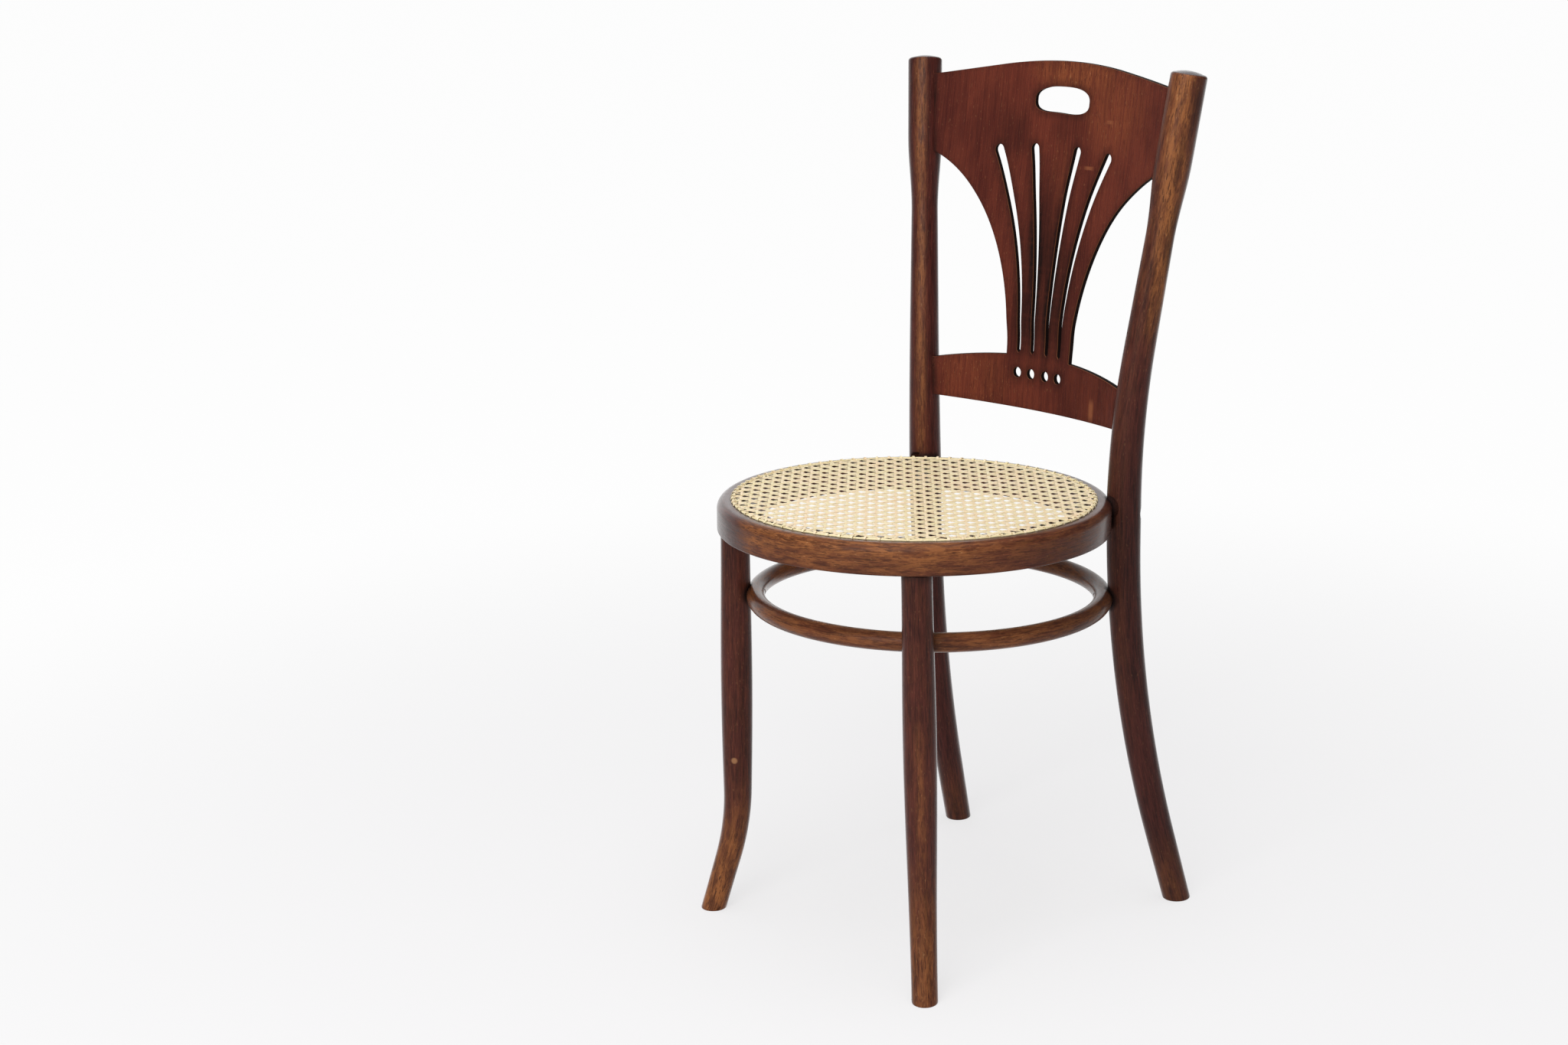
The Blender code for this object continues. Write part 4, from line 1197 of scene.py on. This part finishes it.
stitch = small_grid("cane_stitches", 2, 8)
for corner in stitch.data.vertices:
    turn = pi * (corner.co.y + 0.5)
    drop = STITCH_DROP * sin(turn) ** 0.5 + CANE_CROWN * (1 - (2 * corner.co.x) ** 2)
    swing = corner.co.y * STITCH_LENGTH / HOLE_RADIUS
    out = HOLE_RADIUS + corner.co.x * STITCH_WIDTH
    corner.co = (out * cos(swing), out * sin(swing), -drop)
thicken(stitch, STITCH_THICKNESS, -1)
stitches = copies_round(stitch, HOLES // 2, 0.25)

for small, first_number in ((ties, TIE_NUMBERS), (stitches, STITCH_NUMBERS)):
    def on_tie(corner, first_number=first_number):
        swing = atan2(corner.y, corner.x)
        number = first_number + round(swing / (2 * pi) * HOLES)
        return swing * LINE_RADIUS, number, hypot(corner.x, corner.y)

    note(small, "strand", on_tie)
    face_outwards(small)
    set_in_place(small, seat_place)
    hand_over(small, ["cane_binder"], CANE_SMOOTH)

# %% [markdown]
# Worn places, a painted highlight, dirt and painted shade
# A stain wears away where hands, backs and shoes rub it, and the golden beech shows through.
# Dirt and painted shade turn the corners where two pieces meet nearly black.
# Both amounts are painted on each corner of the wood, as with a weight-paint brush, by where the corner is.
# A brush in the hand would do the same, but here each worn place is written down and can be changed.

# %% Brushes
def fade(value, start, end):
    """1 at start, 0 at end, and smooth in between."""
    return ease(1, 0, (value - start) / (end - start))


def patch(point, place, size):
    """1 at a place, fading to 0 at a size away from it along each axis."""
    away = sqrt(sum(((a - b) / s) ** 2 for a, b, s in zip(point, place, size)))
    return fade(away, 0.3, 1.0)


def patches(point, places):
    """The sum of several patches, each with its amount, place and size."""
    return sum(amount * patch(point, place, size) for amount, place, size in places)


def paint(piece, name, amount):
    layer = piece.data.attributes.new(name, "FLOAT", "POINT")
    for corner in piece.data.vertices:
        layer.data[corner.index].value = min(max(amount(corner.co), 0.0), 1.0)


from_seat, from_hoop = seat_place.inverted(), hoop_place.inverted()


def near_hoop(p):
    """How far a point is from the hoop's surface."""
    q = from_hoop @ p
    return hypot(hypot(q.x, q.y) - hoop_radius, q.z) - HOOP_THICKNESS / 2


def near_bar(p, centre, radius):
    """How far a point is from a leg or a post."""
    spot, run = spot_on(centre, LEFT if p.x < 0 else RIGHT, p.z)
    return (p - spot - run * (p - spot).dot(run)).length - radius(p.z)


def near_post(p):
    return near_bar(p, post_centre, post_radius)


def near_leg(p):
    return near_bar(p, leg_centre, leg_radius)


def ring_corner(p):
    """How deep a point is in the dark corner between a post and the seat ring."""
    q = from_seat @ p
    inside = fade(hypot(q.x, q.y), SEAT_RADIUS + 0.0015, SEAT_RADIUS + 0.0060)
    return inside * fade(-q.z, -0.006, 0.002) * fade(q.z, RING_HEIGHT, RING_HEIGHT + 0.005)


print("brushes ready")

# %% Where the wood is rubbed
# Two directions in plan, square to each other, tell on which side of a bar or a hoop a place is.
FRONT_RIGHT = Vector((sin(view_bearing), -cos(view_bearing), 0))
BACK_RIGHT = Vector((cos(view_bearing), sin(view_bearing), 0))
HOOP_WEAR = 0.60


def side_share(p, centre, radius, side, direction):
    """From -1 to 1, on which side of a bar a point is along a direction."""
    spot, _ = spot_on(centre, side, p.z)
    return (p - spot).dot(direction) / radius(p.z)


def post_wear_and_highlight(p, side):
    """A worn band winds down the right post from its head; the left has an upright strip of wear and painted
    highlight.
    """
    across = side_share(p, post_centre, post_radius, side, BACK_RIGHT)
    if side == RIGHT:
        rubbed = 0.22 + 0.74 * fade(abs(across + 0.35 - 3.8 * (POST_TOP - p.z)), 0.22, 0.92)
        low = (0.10 * fade(abs(across + 0.5), 0.2, 0.8) + 0.02) * fade(-p.z, -0.30, -0.15)
        return max(rubbed * fade(-p.z, -0.70, -0.56), low) + 0.3 * fade(p.z, 0.02, 0.10)
    # The left post's upright strip is wear and a painted highlight.
    rubbed = 0.70 * fade(abs(across + 0.26), 0.0, 0.55) * fade(-p.z, -0.50, -0.40)
    return rubbed + 0.2 * fade(p.z, 0.02, 0.10)


def leg_wear(p, side):
    """Shoes have rubbed both feet, and the right leg is pale at its belly."""
    if side == LEFT:
        return 0.95 * fade(p.z, 0.02, 0.17) + 0.08
    across = side_share(p, leg_centre, leg_radius, side, BACK_RIGHT)
    belly = 0.38 * fade(abs(p.z - 0.20), 0.03, 0.10) * fade(abs(across), 0.05, 0.45)
    return 0.55 * fade(p.z, 0.02, 0.17) + belly + 0.08


def ring_wear(p):
    """The outer side of the ring is rubbed in patches at the front, most of all to the left."""
    q = from_seat @ p
    radius = hypot(q.x, q.y)
    front = ease(0, 1, (q.dot(FRONT_RIGHT) / radius + 0.15) / 0.75)
    outside = fade(-radius, -SEAT_RADIUS + 0.008, -SEAT_RADIUS + 0.014)
    share = q.dot(BACK_RIGHT) / radius
    rubbed = ease(0, 1, (share + 0.91) / 0.14) - 0.58 * ease(0, 1, (share - 0.05) / 0.55)
    turn = atan2(q.y, q.x)
    patchy = 0.86 + 0.14 * sin(23 * turn + 260 * q.z) * sin(9 * turn + 1.3)
    return rubbed * patchy * outside * front * fade(-q.z, -0.005, 0.002) + 0.05


print("rubbed places ready")

# %% Where dirt and painted shade go
SMUDGES = (
    (0.45, (0.6, 0.838), (0.4, 0.035)), (0.45, (0.2, 0.79), (0.25, 0.040)),
    (0.45, (0.7, 0.712), (0.4, 0.055)),
)


def ring_dirt_and_shade(p):
    """Painted shade under the cane, on the right and at the left end, with dirt and painted shade at the
    posts.
    """
    q = from_seat @ p
    radius = hypot(q.x, q.y)
    at_binder = fade(radius, BINDER_OUTER + 0.0003, BINDER_OUTER + 0.0020)
    # Painted shade on the ring's top where the cane lies over it, and a painted shadow line along the
    # binder.
    shade_under_cane = 0.85 * at_binder * fade(-q.z, -0.031, -0.029)
    share = q.dot(BACK_RIGHT) / radius
    # Painted shade on the ring's right side, which also dulls its gloss there.
    shaded_right_side = 0.20 * ease(0, 1, (share - 0.45) / 0.45)
    # Painted shade on the face of the ring's left end, which also dulls its gloss there.
    shaded_left_end = 0.26 * ease(0, 1, (-share - 0.80) / 0.1) * fade(q.z, 0.020, 0.029)
    # Dirt and painted shade where the ring meets the posts.
    return max(shade_under_cane, shaded_right_side + shaded_left_end, 0.9 * fade(near_post(p), 0.0005, 0.005))


def post_dirt_and_shade(p, side):
    """Dirt and painted shade at the ring and the hoop; the right post is darker low down, with hand smudges.
    """
    low_and_smudged = 0.0
    if side == RIGHT:
        across = side_share(p, post_centre, post_radius, side, BACK_RIGHT)
        # The right post is darker low down, and smudged by hands.
        low_and_smudged = 0.27 * fade(p.z, 0.50, 0.62) + patches((across, p.z), SMUDGES)
    # Dirt and painted shade where the post meets the ring and the hoop.
    return max(low_and_smudged, ring_corner(p) + fade(near_hoop(p), 0.002, 0.009))


def leg_dirt_and_shade(p):
    """Dirt and painted shade at the hoop, and painted shade under the seat."""
    # Painted shade under the seat.
    shade_under_seat = 0.6 * fade(-(from_seat @ p).z, 0.0, 0.01)
    # Dirt and painted shade where the leg meets the hoop.
    return fade(near_hoop(p), 0.0005, 0.007) + shade_under_seat


def hoop_dirt_and_shade(p):
    """Painted shade on the right, and dirt and painted shade where the hoop meets the legs and the posts."""
    q = from_hoop @ p
    # Painted shade on the hoop's right side, which also dulls its gloss there.
    shaded_right_side = 0.30 * ease(0, 1, (q.dot(BACK_RIGHT) / hypot(q.x, q.y) - 0.35) / 0.45)
    # Dirt and painted shade where the hoop meets the legs and the posts.
    return max(shaded_right_side, fade(near_leg(p), 0.0002, 0.003), fade(near_post(p), 0.0005, 0.006))


print("dirty places ready")

# %% Paint the beech
for side in (LEFT, RIGHT):
    paint(legs[side], "wear_and_highlight", lambda p: leg_wear(p, side))
    paint(posts[side], "wear_and_highlight", lambda p: post_wear_and_highlight(p, side))
    paint(legs[side], "dirt_and_shade", leg_dirt_and_shade)
    paint(posts[side], "dirt_and_shade", lambda p: post_dirt_and_shade(p, side))
    layer = posts[side].data.attributes.new("end", "FLOAT", "POINT")
    for item, value in zip(posts[side].data.attributes["straight"].data, layer.data):
        value.value = fade(POST_GRAIN + side - item.vector.z, -POST_TOP - 0.0002, -POST_TOP + 0.0012)
paint(ring, "wear_and_highlight", ring_wear)
paint(ring, "dirt_and_shade", ring_dirt_and_shade)
paint(hoop, "wear_and_highlight", lambda p: HOOP_WEAR)
paint(hoop, "dirt_and_shade", hoop_dirt_and_shade)
for piece in (*legs.values(), ring, hoop):
    paint(piece, "end", lambda p: 0.0)
beech_pieces = (*legs.values(), *posts.values(), ring, hoop)
# The second amount painted on the beech is dirt and painted shade.
print("wear and grime painted on", len(beech_pieces), "beech pieces")

# %% Paint the panel
rims = np.array([point for loop in openings for point in loop])
drawn = np.array([item.vector for item in panel.data.attributes["straight"].data])
rim_gap = np.array([np.hypot(rims[:, 0] - x, rims[:, 1] - z).min() for x, _, z in drawn])
edge_gap = np.array([np.hypot(*(np.array(panel_outline) - (x, z)).T).min() for x, _, z in drawn])
RUBBED_PLACES = (
    (0.66, (0.015, 0.865), (0.07, 0.030)), (0.32, (0.080, 0.835), (0.07, 0.07)),
    (0.26, (-0.085, 0.535), (0.07, 0.05)), (0.14, (0.010, 0.76), (0.02, 0.05)),
)
DARK_CLOUDS = (
    (0.55, (0.0, 0.645), (0.055, 0.11)), (0.28, (-0.012, 0.715), (0.035, 0.085)),
    (0.24, (-0.058, 0.797), (0.032, 0.032)), (0.22, (0.008, 0.803), (0.022, 0.016)),
    (0.16, (0.075, 0.54), (0.07, 0.06)),
)


def panel_wear(number):
    """Hands and backs have rubbed the crest, the waist and the rail."""
    x, _, z = drawn[number]
    return patches((x, z), RUBBED_PLACES) + 0.06


def panel_darkening(number):
    """Darker round the openings, along the edges and at the posts, and in a few dark clouds."""
    x, _, z = drawn[number]
    halo = 0.50 * fade(rim_gap[number], 0.0, 0.009) + 0.35 * fade(edge_gap[number], 0.0, 0.004)
    # Darker where the panel meets the posts.
    at_post = 0.8 * fade(post_side(z) - abs(x), 0.0, 0.004)
    return max(halo + patches((x, z), DARK_CLOUDS), at_post)


for name, amount in (("wear_and_highlight", panel_wear), ("dirt_and_shade", panel_darkening)):
    layer = panel.data.attributes.new(name, "FLOAT", "POINT")
    for number in range(len(drawn)):
        layer.data[number].value = amount(number)
# The second amount painted on the panel darkens it round its openings, edges and posts, and in clouds.
print("wear and grime painted on", len(drawn), "corners of the panel")

# %% [markdown]
# Stained beech
# Beech is a pale wood with short dark flecks. Here it was stained dark red-brown and given a satin varnish.
# The finish reads the straight blank's own coordinates, so that its streaks follow each bend.
# Clouds change the stain's depth, streaks follow the grain, wear and painted highlight go golden, corners
# black.
# The ends of the posts are dark and glossy, and a small chip on the left leg shows bare wood.

# %% Stained beech
BLACK = colour(0.010, 0.0052, 0.0047)
PALE_FLECK = colour(0.40, 0.20, 0.09)


def stained_wood(name, deep, middle, golden, streak_x, streak_z, fine_z, lines):
    """Stained wood with wear, painted highlight, dirt and painted shade, ready for last marks, and the parts
    they need.
    """
    material, shader, wire = new_finish(name)
    straight, wear_and_highlight, dirt_and_shade = wire.painted("straight", "Vector"), wire.painted("wear_and_highlight"), wire.painted("dirt_and_shade")
    cloud = straight.noise(16, 16, 7, 3).between(0.35, 0.65)
    streak = straight.noise(streak_x, streak_x, streak_z, 4, 0.6).between(0.34, 0.66)
    fine = straight.noise(1000, 1000, fine_z, 3, 0.6).between(0.34, 0.66)
    dash = straight.noise(800, 800, 110, 2).between(0.55, 0.63)
    fleck = straight.noise(600, 600, 200, 2).between(0.64, 0.72)
    smudge = straight.noise(streak_x * 0.45, streak_x * 0.45, streak_z * 1.5, 5, 0.74).between(0.41, 0.59)
    stain = (streak * lines + cloud * (1.1 - 2 * lines) + fine * lines - 0.05).mix(deep, middle)
    # Wear bares the golden beech, and the left post's painted highlight is golden too.
    bare_and_highlight = wear_and_highlight * (0.17 + smudge * 0.64 + streak * 0.20 + fine * 0.20)
    worn_and_highlit = bare_and_highlight.mix(stain, golden)
    flecked = (fleck * (0.10 + bare_and_highlight * 0.40)).mix(worn_and_highlit, PALE_FLECK)
    pored = (dash * (0.22 + bare_and_highlight * 0.55)).mix(flecked, deep)
    # Dirt and painted shade darken the wood towards black.
    dirty_and_shaded = (dirt_and_shade * (0.8 + smudge * 0.2)).mix(pored, BLACK)
    grain = streak * 0.4 + fine * 0.4 - dash * 0.5
    grain.bump(0.45, 0.0003).feed(shader, "Normal")
    shader.inputs["Specular IOR Level"].default_value = 0.13
    shader.inputs["Coat Roughness"].default_value = 0.2
    glancing = wire.node("ShaderNodeLayerWeight", {}, {"Blend": 0.5}, "Facing")
    sheen = glancing.between(0.40, 0.92) * (1 - dirt_and_shade)
    dull = smudge * 0.10 + bare_and_highlight * 0.06 + dirt_and_shade * 0.3
    return material, shader, straight, dirty_and_shaded, dull, sheen


beech, shader, straight, dirty_and_shaded, dull, sheen = stained_wood(
    "stained_beech", colour(0.018, 0.0046, 0.0040), colour(0.088, 0.0205, 0.0150),
    golden=colour(0.258, 0.093, 0.030), streak_x=360, streak_z=24, fine_z=60, lines=0.42,
)
end = dirty_and_shaded.painted("end")
CHIP_OUT, CHIP_ASIDE, CHIP_HEIGHT = 0.0152, 0.0024, 0.172
chip_spot = FRONT_RIGHT * CHIP_OUT - BACK_RIGHT * CHIP_ASIDE + UP * (LEG_GRAIN + LEFT + CHIP_HEIGHT)
from_chip = straight.node(
    "ShaderNodeVectorMath", {"operation": "DISTANCE"}, {0: straight, 1: chip_spot}, "Value",
)
chipped = (from_chip.between(0.0042, 0.0020) * 0.6).mix(dirty_and_shaded, PALE_FLECK)
# The post ends are dark, tinted lavender as a painted reflection of the sky.
capped = (end * 0.85).mix(chipped, colour(0.030, 0.024, 0.034))
capped.feed(shader, "Base Color")
(0.33 + dull - end * 0.13).feed(shader, "Roughness")
sheen.most(end).feed(shader, "Coat Weight")
for piece in beech_pieces:
    piece.data.materials.clear()
    piece.data.materials.append(beech)
print("stained", len(beech_pieces), "beech pieces")

# %% [markdown]
# Stained veneer
# The back sheet takes the same stain, redder and smoother. Its cut edges show the thin layers of the
# plywood, dark, with a paler line near the front. The layers could be modelled one by one, but the finish
# can draw them by their depth in the sheet. A scar and two scratches are where the real sheet has them.

# %% Stained veneer
def mark(straight, x, z, wide, tall):
    """A soft mark on the sheet, so wide and so tall each way from its middle."""
    across = (straight.part("X") - x).size().between(wide, wide * 0.2)
    upright = (straight.part("Z") - z).size().between(tall, tall * 0.3)
    return across * upright


veneer, shader, straight, dirty_and_shaded, dull, sheen = stained_wood(
    "stained_veneer", colour(0.046, 0.0098, 0.0085), colour(0.134, 0.029, 0.0172),
    golden=colour(0.215, 0.062, 0.024), streak_x=560, streak_z=12, fine_z=30, lines=0.27,
)
scar = mark(straight, 0.0874, 0.527, 0.0060, 0.0140) * 0.55
scratches = mark(straight, 0.0751, 0.8162, 0.0075, 0.0028) * 0.6
scratches += mark(straight, 0.0500, 0.7686, 0.0095, 0.0026) * 0.75
marked = (scar + scratches * 0.6).mix(dirty_and_shaded, colour(0.30, 0.105, 0.045))
from_front = straight.part("Y") + PANEL_THICKNESS / 2
from_back = PANEL_THICKNESS / 2 - straight.part("Y")
wall = from_front.between(EASED / 4, EASED) * from_back.between(EASED / 4, EASED)
layer_line = from_front.between(0.0015, 0.0009)
edge = layer_line.mix(BLACK, colour(0.150, 0.055, 0.026))
wall.mix(marked, edge).feed(shader, "Base Color")
(0.36 + dull + wall * 0.3).feed(shader, "Roughness")
(sheen * sheen * 0.5 * (1 - wall * 0.7)).feed(shader, "Coat Weight")
shader.inputs["Specular IOR Level"].default_value = 0.04
panel.data.materials.append(veneer)
print("stained the back sheet")

# %% [markdown]
# Cane
# Cane is the glossy skin of a climbing palm: pale straw, with fine lines along it, and no two strands alike.
# Each strand has its own number, which gives it its own shade, and the lines follow its length.

# %% Woven cane
material, shader, wire = new_finish("woven_cane")
strand_place = wire.painted("strand", "Vector")
number = strand_place.part("Y")
own_shade = wire.node("ShaderNodeTexWhiteNoise", {"noise_dimensions": "1D"}, {"W": number}, "Value")
own_hue = wire.node("ShaderNodeTexWhiteNoise", {"noise_dimensions": "1D"}, {"W": number + 0.37}, "Value")
line = strand_place.noise(2600, 3.1, 22, 3).between(0.3, 0.7)
stain = strand_place.noise(60, 7.7, 40, 3).between(0.55, 0.8)
shade = own_shade * 0.6 + line * 0.4
straw = shade.mix(colour(0.76, 0.64, 0.35), colour(0.88, 0.78, 0.54))
peach = shade.mix(colour(0.80, 0.60, 0.37), colour(0.90, 0.75, 0.55))
pale = own_hue.between(0.35, 0.9).mix(straw, peach)
spotted = (stain * 0.5).mix(pale, colour(0.56, 0.38, 0.17))
spotted.feed(shader, "Base Color")
(0.34 + line * 0.16).feed(shader, "Roughness")
line.bump(0.3, 0.0002).feed(shader, "Normal")
cane_pieces = (upright_pair, cross_pair, *slants, binder, ties, stitches)
for piece in cane_pieces:
    piece.data.materials.append(material)
print("cane on", len(cane_pieces), "pieces")

# %% [markdown]
# Dark steel
# The bolts, nuts, washers, screws and pins are plain steel, dark with age. They could be modelled anew,
# but the frame's own solids have the right shape, so these stay and only get a patchy, tarnished finish.

# %% Dark steel
material, shader, wire = new_finish("aged_steel")
place = wire.node("ShaderNodeTexCoord", {}, {}, "Object")
tarnish = place.noise(300, 300, 300, 4).between(0.35, 0.65)
tarnish.mix(colour(0.20, 0.19, 0.18), colour(0.09, 0.07, 0.055)).feed(shader, "Base Color")
(0.38 + tarnish * 0.25).feed(shader, "Roughness")
place.noise(900, 900, 900, 2).bump(0.2, 0.0002).feed(shader, "Normal")
shader.inputs["Metallic"].default_value = 1.0
FASTENERS = ("bolt", "nut", "washer", "screw", "pin")
steel_names = [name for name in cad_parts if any(word in name for word in FASTENERS)]
for name in steel_names:
    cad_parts[name].material_slots[0].material = material
print("steel on", len(steel_names), "fasteners")
